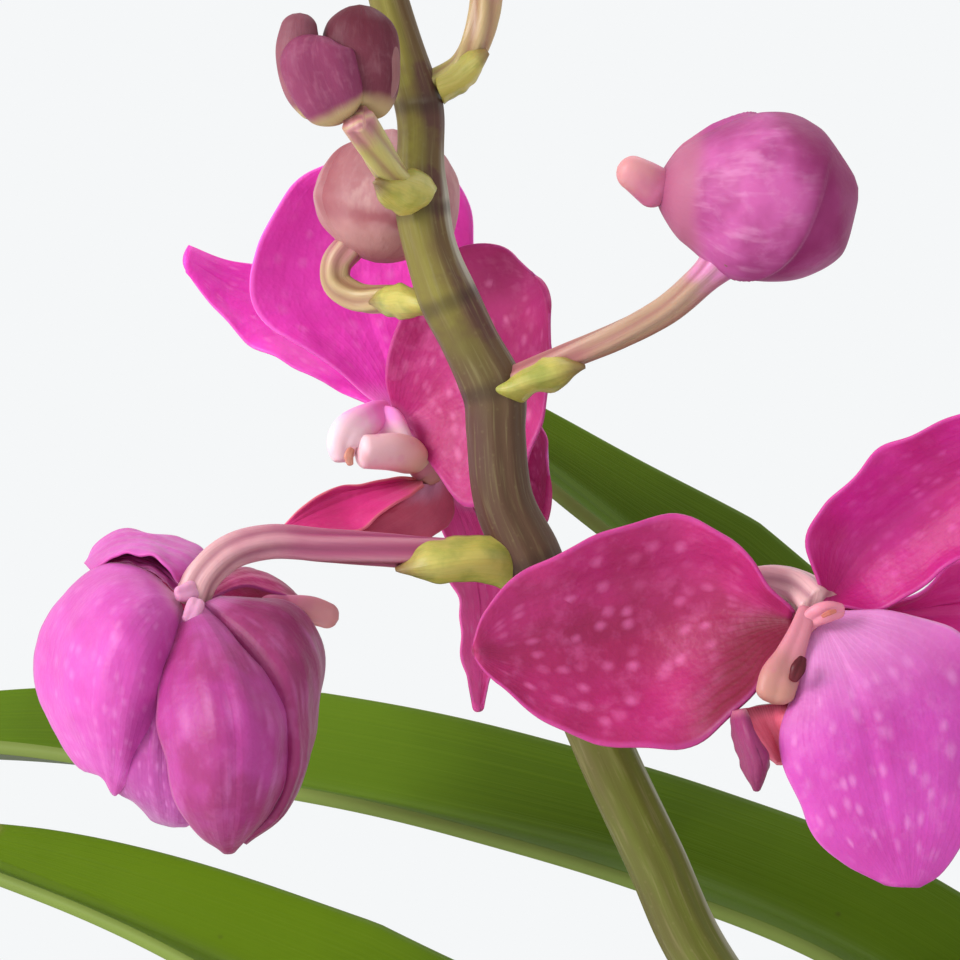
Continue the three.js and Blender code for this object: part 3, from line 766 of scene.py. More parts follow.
@dataclass(frozen=True)
class RootFinish:
    """Velamen of an aerial root: silver grey with green showing through and a green tip."""

    name: str
    silver: Colour
    green: Colour
    tip: Colour

    def material(self) -> bpy.types.Material:
        """Builds the finish.

        Returns:
            The material.
        """
        g = Graph(self.name)
        _, along = g.across_and_along()
        place = g.place()
        cloud = g.noise(place, 120.0, 4.0, 0.6)
        streaks = g.noise(g.surface_place((12.0, 5.0, 1.0)), 2.0, 3.0)
        colour = g.mix(cloud.step(0.42, 0.7) * 0.7, self.silver, self.green)
        colour = g.mix(streaks.step(0.5, 0.75) * 0.3, colour, self.green)
        colour = g.mix(along.step(0.93, 1.0) * 0.7, colour, self.tip)
        normal = g.bump(streaks * 0.5 + g.noise(place, 900.0, 3.0) * 0.5, 0.0003, 0.6)
        return g.finish(colour, 0.72, normal, specular_ior_level=0.3)


@dataclass
class Line:
    """A smooth curve through given points.

    Attributes:
        points: The points, in metres.
    """

    points: list[Vector]
    dense: np.ndarray = field(init=False)
    reach: np.ndarray = field(init=False)

    def __post_init__(self) -> None:
        """Works out the dense samples and the length up to each."""
        p = np.array([tuple(v) for v in self.points], float)
        p = np.vstack([2 * p[0] - p[1], p, 2 * p[-1] - p[-2]])
        out = []
        for a, b, c, d in zip(p[:-3], p[1:-2], p[2:-1], p[3:]):
            out.extend(self._stretch(a, b, c, d))
        out.append(p[-2])
        self.dense = np.array(out)
        steps = np.linalg.norm(np.diff(self.dense, axis=0), axis=1)
        self.reach = np.concatenate([[0.0], np.cumsum(steps)])

    @staticmethod
    def _stretch(a: np.ndarray, b: np.ndarray, c: np.ndarray, d: np.ndarray) -> list[np.ndarray]:
        """Samples a centripetal Catmull-Rom stretch from b to c."""
        knots = [0.0]
        for low, high in ((a, b), (b, c), (c, d)):
            knots.append(knots[-1] + max(np.linalg.norm(high - low), 1e-9) ** 0.5)
        k0, k1, k2, k3 = knots
        out = []
        for t in np.linspace(k1, k2, 24, endpoint=False):
            ab = (k1 - t) / (k1 - k0) * a + (t - k0) / (k1 - k0) * b
            bc = (k2 - t) / (k2 - k1) * b + (t - k1) / (k2 - k1) * c
            cd = (k3 - t) / (k3 - k2) * c + (t - k2) / (k3 - k2) * d
            abc = (k2 - t) / (k2 - k0) * ab + (t - k0) / (k2 - k0) * bc
            bcd = (k3 - t) / (k3 - k1) * bc + (t - k1) / (k3 - k1) * cd
            out.append((k2 - t) / (k2 - k1) * abc + (t - k1) / (k2 - k1) * bcd)
        return out

    def at(self, t: float) -> Vector:
        """Returns the point at a share t of the length."""
        want = min(max(t, 0.0), 1.0) * self.reach[-1]
        return Vector([float(np.interp(want, self.reach, self.dense[:, k])) for k in range(3)])

    def along(self, t: float) -> Vector:
        """Returns the direction at a share t of the length."""
        return (self.at(t + 0.01) - self.at(t - 0.01)).normalized()

    def frames(self, steps: int) -> list[tuple[Vector, Vector, Vector]]:
        """Carries a pair of cross directions along the curve without twist.

        Args:
            steps: The number of equal stretches.

        Returns:
            A point and its two cross directions for each step.
        """
        tangent = self.along(0.0)
        side = tangent.orthogonal().normalized()
        if abs(tangent.y) < 0.95:
            side = Vector((0, -1, 0))
        out = []
        for k in range(steps + 1):
            tangent = self.along(k / steps)
            side = (side - tangent * side.dot(tangent)).normalized()
            out.append((self.at(k / steps), side, tangent.cross(side)))
        return out


def in_spray(points: Points) -> list[Vector]:
    """Turns millimetres from the spray's middle into the part's own metres."""
    return [SPRAY + Vector(p) * MM for p in points]


def grid(columns: int, rows: int, place: Callable[[float, float], Vector]) -> bmesh.types.BMesh:
    """Makes a grid with a UV map and moves it by a formula.

    Args:
        columns: Squares across.
        rows: Squares along.
        place: Gives the place for across and along, each from 0 to 1.

    Returns:
        The bmesh.
    """
    bm = bmesh.new()
    bm.loops.layers.uv.new("UVMap")
    bmesh.ops.create_grid(bm, x_segments=columns, y_segments=rows, size=0.5, calc_uvs=True)
    for vert in bm.verts:
        vert.co = place(vert.co.x + 0.5, vert.co.y + 0.5)
    return bm


def rod(
    line: Line, radius: Callable[[float, float], float], steps: int, sides: int, turns: float = 0.0,
) -> bmesh.types.BMesh:
    """Makes a closed stem along a curve.

    Args:
        line: The curve along its middle.
        radius: Half width for a share of the length and an angle.
        steps: Rings along it.
        sides: Faces round it.
        turns: How far its ribs wind round it.

    Returns:
        The bmesh.
    """
    frames = line.frames(steps)

    def place(across: float, along: float) -> Vector:
        """Returns the point of the stem's skin."""
        centre, side, other = frames[round(along * steps)]
        angle = across * 2 * math.pi
        r = radius(along, angle + turns * 2 * math.pi * along)
        return centre + side * (r * math.cos(angle)) + other * (r * math.sin(angle))

    bm = grid(sides, steps, place)
    bmesh.ops.remove_doubles(bm, verts=bm.verts, dist=1e-7)
    ends = [edge for edge in bm.edges if edge.is_boundary]
    bmesh.ops.holes_fill(bm, edges=ends, sides=0)
    bmesh.ops.recalc_face_normals(bm, faces=bm.faces)
    return bm


def piece(
    name: str, bm: bmesh.types.BMesh, finishes: Iterable[bpy.types.Material], nodes: Iterable[str],
    slot: str, smooth: bool = True,
) -> bpy.types.Object:
    """Turns a bmesh into a piece that rides with the part and stands for its node.

    Args:
        name: The piece's name.
        bm: Its shape, which is freed.
        finishes: Its materials in slot order.
        nodes: The nodes it stands for.
        slot: The record's material slot; not used.
        smooth: Whether its faces are shaded smooth.

    Returns:
        The object.
    """
    mesh = bpy.data.meshes.new(name)
    for face in bm.faces:
        face.smooth = smooth
    bm.to_mesh(mesh)
    bm.free()
    for material in finishes:
        mesh.materials.append(material)
    made = bpy.data.objects.new(name, mesh)
    bpy.context.scene.collection.objects.link(made)
    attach(made, "root")
    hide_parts(*nodes)
    LOG.info("%s: %d faces", name, len(mesh.polygons))
    return made


def join(target: bmesh.types.BMesh, extra: bmesh.types.BMesh, material: int = 0) -> None:
    """Adds the faces of one bmesh to another, with their UV map."""
    source = extra.loops.layers.uv.active
    layer = target.loops.layers.uv.active
    copies = {vert: target.verts.new(vert.co) for vert in extra.verts}
    for face in extra.faces:
        made = target.faces.new([copies[vert] for vert in face.verts])
        made.material_index = material
        if source and layer:
            for loop, old in zip(made.loops, face.loops):
                loop[layer].uv = old[source].uv
    extra.free()


def turned(outline: Sequence[tuple[float, float]], steps: int) -> bmesh.types.BMesh:
    """Turns an outline once round the upright axis.

    Args:
        outline: Radius and height of each point, in metres.
        steps: How many steps the turn has.

    Returns:
        The bmesh.
    """
    bm = bmesh.new()
    verts = [bm.verts.new((radius, 0, height)) for radius, height in outline]
    edges = [bm.edges.new(pair) for pair in zip(verts, verts[1:])]
    bmesh.ops.spin(
        bm, geom=verts + edges, cent=(0, 0, 0), axis=(0, 0, 1),
        angle=2 * math.pi, steps=steps, use_merge=True
    )
    bmesh.ops.remove_doubles(bm, verts=bm.verts, dist=1e-6)
    bmesh.ops.recalc_face_normals(bm, faces=bm.faces)
    return bm


@dataclass
class Tepal:
    """A petal, sepal or lip: its two edges and its middle line, from claw to tip.

    Attributes:
        name: The piece's name.
        left: One edge, in millimetres from the spray's middle.
        mid: The middle line.
        right: The other edge.
        seen: The face turned to the front.
        thick: Thickness along the middle, in metres.
        ruffle: Height of the waves at the edge, in metres.
        dimple: Depth of the furrow along the middle, in metres.
        ridges: Height of the low ridges along the blade, in metres.
        rows: Squares along.
        columns: Squares across.
    """

    name: str
    left: Points
    mid: Points
    right: Points
    seen: Side = Side.INNER
    thick: float = 0.0009
    ruffle: float = 0.0004
    dimple: float = 0.0002
    ridges: float = 0.00006
    rows: int = 60
    columns: int = 48

    def shape(self) -> bmesh.types.BMesh:
        """Makes the blade's middle surface, its front turned towards -Y.

        Returns:
            The bmesh. Its thickness weight, 1 in the middle and less at the rim, is set in build.
        """
        lines = [Line(in_spray(points)) for points in (self.left, self.mid, self.right)]
        samples = [[line.at(k / self.rows) for line in lines] for k in range(self.rows + 1)]
        seed = sum(ord(letter) for letter in self.name) * 0.37

        def surface(across: float, along: float) -> Vector:
            """Returns the point of the middle surface."""
            a, m, b = samples[round(along * self.rows)]
            v = 2 * across - 1
            return a * (v * (v - 1) / 2) + m * (1 - v * v) + b * (v * (v + 1) / 2)

        bm = grid(self.columns, self.rows, surface)
        bm.normal_update()
        spread = sum((vert.normal for vert in bm.verts), Vector())
        if spread.y > 0:
            bmesh.ops.reverse_faces(bm, faces=bm.faces)
            bm.normal_update()
        shares = self._shares(bm)
        for vert in bm.verts:
            across, along = shares[vert.index]
            v = 2 * across - 1
            wave = math.sin(along * 17 + seed) + 0.6 * math.sin(along * 31 + 2 * seed + 3 * v)
            lift = self.ruffle * wave * abs(v) ** 4 * math.sin(math.pi * min(1, along * 1.1)) ** 0.5
            fold = self.dimple * math.exp(-((v / 0.07) ** 2)) * math.sin(math.pi * along)
            soft = noise.noise(vert.co * 160 + Vector((seed, 0, 0))) * 0.0003
            soft += noise.noise(vert.co * 520 + Vector((seed, 0, 0))) * 0.00008
            ridge = self.ridges * math.sin(v * 13 + 2 * noise.noise(Vector((along * 3, seed, 0))))
            vert.co += vert.normal * (lift - fold + (soft + ridge) * math.sin(math.pi * along))
        return bm

    @staticmethod
    def _shares(bm: bmesh.types.BMesh) -> dict[int, tuple[float, float]]:
        """Reads how far across and along each vertex lies."""
        layer = bm.loops.layers.uv.active
        bm.verts.index_update()
        return {
            vert.index: tuple(vert.link_loops[0][layer].uv) for vert in bm.verts if vert.link_loops
        }

    def build(
        self, inner: bpy.types.Material, outer: bpy.types.Material, node: str, slot: str,
    ) -> bpy.types.Object:
        """Makes the piece with its two faces.

        Args:
            inner: Finish of the face towards the flower's heart.
            outer: Finish of the back.
            node: The node that it stands for.
            slot: The record's material slot.

        Returns:
            The object.
        """
        bm = self.shape()
        shares = self._shares(bm)
        weights = {
            index: 1.0 - 0.62 * abs(2 * across - 1) ** 3 - 0.1 * along
            for index, (across, along) in shares.items()
        }
        finishes = (inner, outer) if self.seen is Side.INNER else (outer, inner)
        made = piece(self.name, bm, finishes, [node], slot)
        group = made.vertex_groups.new(name="thickness")
        for index, weight in weights.items():
            group.add([index], max(weight, 0.25), "REPLACE")
        wall = made.modifiers.new("Solidify", "SOLIDIFY")
        wall.thickness = self.thick
        wall.offset = 0.0
        wall.vertex_group = "thickness"
        wall.material_offset = 1
        wall.use_rim = True
        return made


@dataclass
class Stalk:
    """A ribbed stalk that widens from its foot to the flower or bud."""

    name: str
    points: Points
    foot: float
    head: float
    ribs: int = 6
    depth: float = 0.1
    turns: float = 0.25
    cup: float = 0.0

    def build(self, finish: bpy.types.Material, node: str, slot: str) -> bpy.types.Object:
        """Makes the stalk.

        Args:
            finish: Its material.
            node: The node that it stands for.
            slot: The record's material slot.

        Returns:
            The object.
        """

        def radius(along: float, angle: float) -> float:
            """Returns the half width, with its ribs."""
            ribs = 1 + self.depth * math.cos(self.ribs * angle)
            flare = 0.25 * max(0.0, 1 - along * 9) ** 2 + self.cup * max(0.0, along * 8 - 7) ** 2
            return (self.foot + (self.head - self.foot) * along ** 1.3) * (ribs + flare)

        bm = rod(Line(in_spray(self.points)), radius, 60, 48, self.turns)
        return piece(self.name, bm, [finish], [node], slot)


def blend(values: Sequence[float], share: float) -> float:
    """Runs smoothly through evenly spaced values.

    Args:
        values: The values from first to last.
        share: How far along them, from 0 to 1.

    Returns:
        The value there.
    """
    last = len(values) - 1
    at = min(max(share, 0.0), 1.0) * last
    k = min(int(at), last - 1)
    f = at - k
    a, b, c, d = (values[min(max(k + move, 0), last)] for move in (-1, 0, 1, 2))
    bend = f * f * (a - 2.5 * b + 2 * c - 0.5 * d) + f**3 * (1.5 * (b - c) + 0.5 * (d - a))
    return b + f * (c - a) / 2 + bend


@dataclass(frozen=True)
class Seams:
    """Winding seams where a bud's sepals overlap.

    Attributes:
        count: How many sepals there are round the bud.
        start: Where the first seam starts, as a share of one sepal's turn.
        wind: How far the seams wind, in sepals, by the tip.
        drop: How far a sepal's edge stands over the next one, in metres.
    """

    count: int = 3
    start: float = 0.0
    wind: float = 0.0
    drop: float = 0.0006

    def step(self, along: float, angle: float) -> float:
        """Returns the height of the skin over the lowest sepal's foot."""
        phase = (angle / (2 * math.pi) * self.count + self.wind * along**3 - self.start) % 1.0
        rise = phase if phase < 0.965 else (1 - phase) / 0.035 * 0.965
        return self.drop * (rise**1.5 - 0.5) * min(1.0, along * 4, (1 - along) * 6)


@dataclass
class Lobe:
    """A fleshy body along a short curve: a bud, a spur or a part of a column.

    Attributes:
        name: The piece's name.
        points: The curve along its middle, in millimetres from the spray's middle.
        widths: Evenly spaced half widths along it, in millimetres.
        flat: Its depth as a share of its width.
        blunt: Length of the rounding at each end, as a share of the half width there.
        uneven: Height of its soft lumps, in metres.
        knob: Height of the three knobs at its foot, in metres.
        seams: Where its sepals overlap, or None for plain flesh.
    """

    name: str
    points: Points
    widths: tuple[float, ...]
    flat: float = 0.85
    blunt: float = 0.9
    uneven: float = 0.00004
    knob: float = 0.0
    seams: Seams | None = None

    def shape(self) -> bmesh.types.BMesh:
        """Makes the skin.

        Returns:
            The bmesh.
        """
        line = Line(in_spray(self.points))
        length = float(line.reach[-1])

        def radius(along: float, angle: float) -> float:
            """Returns the half width, rounded off at its ends and stepped at its seams."""
            width = blend(self.widths, along) * MM
            for away, end in ((along, self.widths[0]), (1 - along, self.widths[-1])):
                near = min(away * length / (end * MM * self.blunt), 1.0)
                width *= math.sqrt(max(1 - (1 - near) ** 2, 0.0004))
            squash = 1 - (1 - self.flat) * math.cos(angle) ** 2
            spot = Vector((math.cos(angle), math.sin(angle), along * 3)) * 1.6
            bumps = self.uneven * noise.noise(spot + Vector((length * 900, 0, 0)))
            bumps += self.knob * max(0.0, 1 - along * 5) ** 2 * (0.5 + 0.5 * math.cos(3 * angle))
            if self.seams:
                bumps += self.seams.step(along, angle)
            return width * squash + bumps * min(1.0, along * 12, (1 - along) * 12)

        return rod(line, radius, 90 if self.seams else 56, 168 if self.seams else 72)

    def build(self, finish: bpy.types.Material, node: str, slot: str) -> bpy.types.Object:
        """Makes the piece.

        Args:
            finish: Its material.
            node: The node that it stands for.
            slot: The record's material slot.

        Returns:
            The object.
        """
        return piece(self.name, self.shape(), [finish], [node], slot)


@dataclass
class StrapLeaf:
    """A folded strap leaf that clasps the stem and ends in an uneven tip.

    Attributes:
        name: The node it stands for.
        foot: Height of its foot on the stem, in millimetres.
        keel: Points of the keel as distance out and height, in millimetres.
        width: Half width of the flattened blade, in millimetres.
        roll: Turn towards the front, in degrees.
        side: -1 for the left rank and 1 for the right one.
    """

    name: str
    foot: float
    keel: Points
    width: float
    roll: float
    side: int
    rank_slope: float = 0.33
    opening: float = 58.0
    thick: float = 0.0016

    def _line(self) -> Line:
        """Returns the keel as a curve in the part's own frame."""
        points = [(0, self.foot - 10), (7, self.foot + 3), *self.keel]
        return Line([Vector((self.side * x, -self.side * self.rank_slope * x, z)) * MM for x, z in points])

    def build(self, upper: bpy.types.Material, under: bpy.types.Material) -> bpy.types.Object:
        """Makes the leaf.

        Args:
            upper: Finish of the inner face of the fold.
            under: Finish of the outer face.

        Returns:
            The object.
        """
        line = self._line()
        rows = 110

        def frame(t: float) -> tuple[Vector, Vector, Vector, Vector]:
            """Returns the keel's point, its direction, and the blade's own axes there."""
            tangent = line.along(t)
            across = Vector((0, 0, 1)).cross(tangent).normalized()
            up = tangent.cross(across)
            turn = Matrix.Rotation(self.side * math.radians(self.roll) * min(1, t * 3), 3, tangent)
            return line.at(t), tangent, turn @ across, turn @ up

        frames = [frame(k / rows) for k in range(rows + 1)]

        def place(across: float, along: float) -> Vector:
            """Returns the point of the blade's middle surface."""
            centre, tangent, sideways, upwards = frames[round(along * rows)]
            v = 2 * across - 1
            half = self.width * MM * min(0.68 + 1.3 * along, 1) * min(1, 0.42 + 2.3 * (1 - along))
            opening = math.radians(self.opening * min(1, 0.55 + 1.6 * along))
            spread = abs(v) - 0.05 * math.exp(-abs(v) / 0.08) + 0.05
            reach = half * spread
            curl = 0.10 * half * v * v * math.sin(math.pi * min(1, along * 1.05))
            bite = 0.0
            if along > 0.9:
                notch = 4 * math.sin(v * 2.6 + self.foot) - 2 * abs(v)
                bite = MM * notch * ((along - 0.9) / 0.1) ** 2
            wave = 0.0004 * math.sin(along * 23 + self.foot) * abs(v)
            side_way = math.copysign(1, v) * reach * math.sin(opening) if v else 0.0
            keel_soft = 0.0007 * math.exp(-((v / 0.08) ** 2))
            lift = reach * math.cos(opening) + keel_soft - curl + wave
            return centre + sideways * side_way + upwards * lift + tangent * bite

        bm = grid(32, rows, place)
        bm.normal_update()
        middle = frames[rows // 2][3]
        if sum((vert.normal for vert in bm.verts), Vector()).dot(middle) < 0:
            bmesh.ops.reverse_faces(bm, faces=bm.faces)
        flat = Vector((-self.side, 0, 0))
        bmesh.ops.bisect_plane(
            bm, geom=bm.verts[:] + bm.edges[:] + bm.faces[:],
            plane_co=(0, 0, 0), plane_no=flat, clear_outer=True
        )
        made = piece(self.name, bm, (upper, under), [self.name], "leaf_green")
        wall = made.modifiers.new("Solidify", "SOLIDIFY")
        wall.thickness = self.thick
        wall.offset = 0.0
        wall.material_offset = 1
        return made


# Each point was read off the photograph: pixels across, pixels down, and a depth in
# millimetres that was judged, as one picture doesn't show it. Points that other parts hide, and
# those past the photograph's edges at 0 and 960, are guesses.
FLOWER_A: dict[str, dict[str, Points]] = PHOTO.places({
    "left_petal": {
        "left": [
            [795, 612, -20], [770, 590, -20.5], [752, 560, -21], [728, 535, -20.5], [690, 520, -20],
            [650, 521, -20], [600, 532, -20], [545, 560, -20], [505, 588, -20], [482, 618, -20],
            [473, 645, -20],
        ],
        "mid": [
            [793, 621, -19], [750, 615, -17], [705, 615, -15.5], [629, 636, -15], [550, 648, -17],
            [500, 652, -18.5], [474, 652, -20],
        ],
        "right": [
            [794, 634, -20], [772, 657, -22], [755, 694, -24], [720, 727, -24], [680, 744, -23.5],
            [640, 748, -23], [595, 744, -22.5], [545, 719, -21.5], [503, 688, -21], [482, 668, -20.5],
            [474, 657, -20],
        ],
    },
    "lower_sepal": {
        "left": [
            [815, 622, -21], [799, 650, -23], [790, 700, -25], [781, 745, -26], [792, 784, -27],
            [812, 832, -28], [845, 864, -28], [885, 884, -28],
        ],
        "mid": [
            [820, 618, -21], [838, 655, -24], [858, 700, -27], [872, 750, -28.5], [884, 800, -29],
            [894, 850, -29], [906, 886, -28.5],
        ],
        "right": [
            [828, 612, -20], [895, 614, -21], [955, 630, -22], [985, 690, -24], [988, 760, -26],
            [968, 830, -28], [940, 874, -28], [920, 886, -28],
        ],
    },
    "upper_petal": {
        "left": [
            [822, 600, -19], [812, 565, -20], [809, 530, -21], [840, 487, -23], [899, 443, -25],
            [965, 413, -27], [1025, 415, -28],
        ],
        "mid": [
            [826, 603, -19], [845, 575, -17], [865, 548, -17], [900, 517, -18], [945, 485, -20],
            [995, 455, -23], [1033, 428, -27],
        ],
        "right": [
            [830, 606, -19], [868, 610, -20], [905, 596, -21], [950, 566, -22], [995, 525, -24],
            [1030, 475, -26], [1038, 440, -28],
        ],
    },
    "dorsal_sepal": {
        "left": [
            [832, 606, -17], [866, 606, -14], [905, 598, -12], [960, 565, -10], [1020, 545, -9],
            [1075, 560, -10], [1095, 590, -12],
        ],
        "mid": [
            [832, 609, -16], [866, 611, -11], [905, 611, -8], [960, 603, -6], [1020, 600, -6],
            [1075, 600, -8], [1098, 597, -12],
        ],
        "right": [
            [832, 612, -17], [866, 616, -14], [905, 625, -12], [960, 640, -10], [1020, 655, -9],
            [1075, 640, -10], [1097, 604, -12],
        ],
    },
    "rear_sepal": {
        "left": [
            [832, 612, -17], [880, 620, -15], [950, 640, -14], [1020, 690, -14], [1060, 760, -16],
            [1060, 820, -18], [1040, 858, -20],
        ],
        "mid": [
            [829, 616, -17], [866, 645, -14], [915, 680, -12], [965, 725, -12], [1005, 780, -14],
            [1030, 825, -17], [1037, 862, -20],
        ],
        "right": [
            [826, 620, -18], [850, 660, -17], [885, 715, -17], [915, 775, -17], [950, 830, -18],
            [990, 862, -19], [1030, 864, -20],
        ],
    },
})
FLOWER_B: dict[str, dict[str, Points]] = PHOTO.places({
    "far_petal": {
        "left": [
            [402, 426, 28], [342, 390, 29], [294, 369, 29], [254, 345, 30], [214, 307, 31],
            [186, 272, 31],
        ],
        "mid": [
            [404, 422, 29], [352, 370, 31], [312, 332, 34], [266, 302, 34], [222, 281, 33],
            [184, 258, 31],
        ],
        "right": [
            [408, 418, 29], [372, 350, 33], [335, 300, 35], [280, 270, 35], [225, 260, 34],
            [188, 246, 32],
        ],
    },
    "dorsal_sepal": {
        "left": [
            [388, 410, 26], [330, 365, 24], [268, 325, 23], [251, 280, 22], [262, 232, 22],
            [300, 180, 22], [355, 152, 23],
        ],
        "mid": [
            [400, 412, 27], [385, 360, 27], [365, 310, 27], [358, 260, 27], [362, 215, 26],
            [368, 180, 24], [372, 151, 23],
        ],
        "right": [
            [412, 412, 26], [440, 350, 26], [466, 290, 25], [475, 240, 24], [468, 200, 23],
            [440, 165, 23], [390, 151, 23],
        ],
    },
    "near_petal": {
        "left": [
            [395, 418, 26], [385, 370, 24], [402, 310, 22], [430, 265, 20], [465, 245, 18],
            [500, 247, 16], [535, 275, 14],
        ],
        "mid": [
            [402, 424, 26], [420, 410, 25], [450, 380, 23], [485, 350, 20], [512, 325, 17],
            [532, 305, 15], [545, 290, 13],
        ],
        "right": [
            [410, 430, 25], [435, 470, 21], [470, 508, 17], [515, 480, 14], [540, 430, 12],
            [550, 370, 11], [549, 315, 12],
        ],
    },
    "hanging_sepal": {
        "left": [[430, 490, 26], [445, 540, 25], [455, 590, 23], [463, 650, 21], [473, 700, 19]],
        "mid": [[450, 495, 28], [468, 545, 28], [478, 595, 27], [478, 655, 24], [478, 710, 20]],
        "right": [[470, 500, 28], [490, 550, 29], [501, 600, 27], [493, 660, 23], [483, 702, 20]],
    },
    "rear_sepal": {
        "left": [[430, 480, 29], [460, 500, 29], [490, 515, 27], [520, 525, 24], [543, 528, 20]],
        "mid": [[435, 460, 31], [470, 465, 32], [505, 468, 30], [532, 478, 26], [548, 505, 21]],
        "right": [[440, 440, 30], [480, 420, 30], [515, 405, 27], [540, 420, 24], [549, 475, 21]],
    },
})
FLOWER_C: dict[str, dict[str, Points]] = PHOTO.places({
    "front_sepal": {
        "left": [
            [185, 612, -9], [165, 655, -14], [158, 706, -17], [163, 755, -19], [180, 806, -19],
            [202, 837, -17], [220, 849, -15],
        ],
        "mid": [
            [194, 610, -10], [215, 650, -18], [228, 690, -22], [236, 735, -24], [236, 785, -23],
            [233, 825, -20], [228, 851, -15],
        ],
        "right": [
            [203, 607, -8], [232, 636, -10], [266, 675, -13], [288, 715, -15], [290, 760, -16],
            [271, 808, -16], [250, 835, -15], [236, 848, -14],
        ],
    },
    "side_petal": {
        "left": [
            [200, 606, -7], [225, 640, -10], [255, 685, -13], [276, 730, -15], [280, 770, -15],
            [262, 815, -14], [240, 840, -14],
        ],
        "mid": [
            [212, 602, -8], [265, 628, -11], [297, 672, -13], [304, 720, -14], [300, 765, -15],
            [280, 812, -15], [244, 842, -14],
        ],
        "right": [
            [225, 598, -6], [288, 602, -3], [320, 640, 0], [321, 695, 0], [309, 750, -2],
            [285, 805, -7], [245, 843, -11],
        ],
    },
    "left_petal": {
        "left": [
            [172, 594, -7], [150, 573, -5], [125, 565, -3], [98, 569, -2], [70, 585, -1],
            [48, 617, -2], [34, 665, -3], [45, 715, -5], [67, 754, -7], [86, 771, -8],
            [101, 772, -8.5], [111, 790, -9],
        ],
        "mid": [
            [176, 602, -8], [145, 598, -13], [115, 618, -16], [98, 655, -16.5], [94, 700, -16],
            [100, 745, -14], [108, 775, -11], [114, 792, -9],
        ],
        "right": [
            [182, 610, -9], [176, 640, -13], [168, 675, -15], [158, 712, -15], [143, 748, -14],
            [130, 776, -12], [122, 790, -10], [117, 795, -9],
        ],
    },
    "middle_sepal": {
        "left": [
            [176, 612, -8], [150, 660, -12], [128, 710, -12], [112, 755, -10], [114, 788, -8],
            [127, 796, -6], [136, 803, -6], [152, 820, -6],
        ],
        "mid": [
            [182, 612, -9], [166, 670, -14], [154, 725, -15], [150, 770, -15], [152, 798, -13],
            [158, 815, -10], [166, 823, -7],
        ],
        "right": [
            [186, 615, -8], [178, 680, -13], [178, 740, -15], [188, 790, -15], [193, 812, -14],
            [190, 824, -11], [178, 827, -8],
        ],
    },
    "curled_petal": {
        "left": [
            [190, 594, -5], [176, 577, -7], [164, 565, -7], [150, 556, -6], [131, 553, -5],
            [110, 559, -3], [91, 571, -2],
        ],
        "mid": [
            [197, 587, -3], [190, 566, -2], [168, 552, 0], [145, 544, 2], [120, 546, 3], [101, 554, 3],
            [88, 567, 3],
        ],
        "right": [
            [205, 580, 2], [206, 556, 6], [186, 543, 9], [154, 534, 10], [116, 534, 10], [95, 547, 9],
            [85, 564, 6],
        ],
    },
    "fold": {
        "left": [[180, 596, -4], [158, 574, -3], [125, 563, -1], [94, 572, 1]],
        "mid": [[184, 590, -3], [160, 568, -1], [126, 558, 0], [93, 569, 2]],
        "right": [[188, 586, -2], [164, 562, 0], [130, 552, 1], [92, 566, 3]],
    },
    "right_petal": {
        "left": [
            [196, 608, -7], [245, 585, -1], [290, 600, 2], [312, 640, 6], [312, 700, 9],
            [285, 760, 10],
        ],
        "mid": [
            [195, 602, -6], [250, 573, 5], [285, 590, 11], [300, 640, 17], [295, 700, 20],
            [262, 765, 19],
        ],
        "right": [
            [190, 602, -5], [230, 570, 9], [250, 590, 18], [252, 650, 25], [240, 710, 27],
            [215, 765, 24],
        ],
    },
    "rear_sepal": {
        "left": [
            [184, 590, 2], [125, 566, 6], [90, 580, 12], [75, 660, 18], [95, 740, 19], [150, 805, 14],
        ],
        "mid": [
            [190, 588, 0], [185, 570, 10], [178, 640, 24], [178, 710, 27], [182, 765, 23],
            [190, 812, 13],
        ],
        "right": [
            [196, 590, 2], [250, 575, 6], [292, 606, 12], [300, 680, 18], [275, 755, 18],
            [210, 808, 13],
        ],
    },
})
LIPS: dict[str, dict[str, dict[str, Points]]] = PHOTO.places({
    "a": {
        "tongue": {
            "left": [
                [735, 711, -25], [742, 727, -26], [752, 742, -27], [764, 754, -27], [776, 763, -26],
            ],
            "mid": [
                [762, 706, -24], [768, 722, -23.5], [774, 736, -23.5], [779, 750, -24],
                [783, 762, -25],
            ],
            "right": [
                [788, 703, -24], [793, 716, -25], [796, 732, -26], [795, 746, -26], [791, 762, -26],
            ],
        },
        "flap": {
            "left": [
                [734, 711, -24], [731, 725, -24], [735, 745, -24], [742, 767, -24], [755, 787, -24],
            ],
            "mid": [
                [740, 712, -26], [744, 728, -27.5], [750, 746, -28], [757, 766, -27], [757, 788, -24],
            ],
            "right": [
                [746, 712, -25], [756, 738, -27], [770, 757, -27], [767, 771, -25], [760, 786, -24],
            ],
        },
    },
    "b": {
        "tongue": {
            "left": [
                [420, 478, 24], [395, 478, 22], [360, 483, 19], [330, 489, 17], [302, 506, 15],
                [283, 527, 14],
            ],
            "mid": [
                [422, 481, 25], [397, 488, 22], [366, 498, 19], [335, 510, 17], [305, 520, 15],
                [282, 529, 14],
            ],
            "right": [
                [424, 486, 21], [402, 500, 17], [381, 514, 15], [358, 529, 14], [320, 532, 13],
                [283, 531, 14],
            ],
        },
        "flap": {
            "left": [[420, 484, 22], [402, 500, 19], [380, 516, 17], [357, 531, 16]],
            "mid": [[434, 482, 26], [430, 504, 23], [414, 520, 20], [388, 535, 17]],
            "right": [[440, 472, 27], [453, 498, 27], [452, 520, 25], [430, 538, 21]],
        },
    },
})
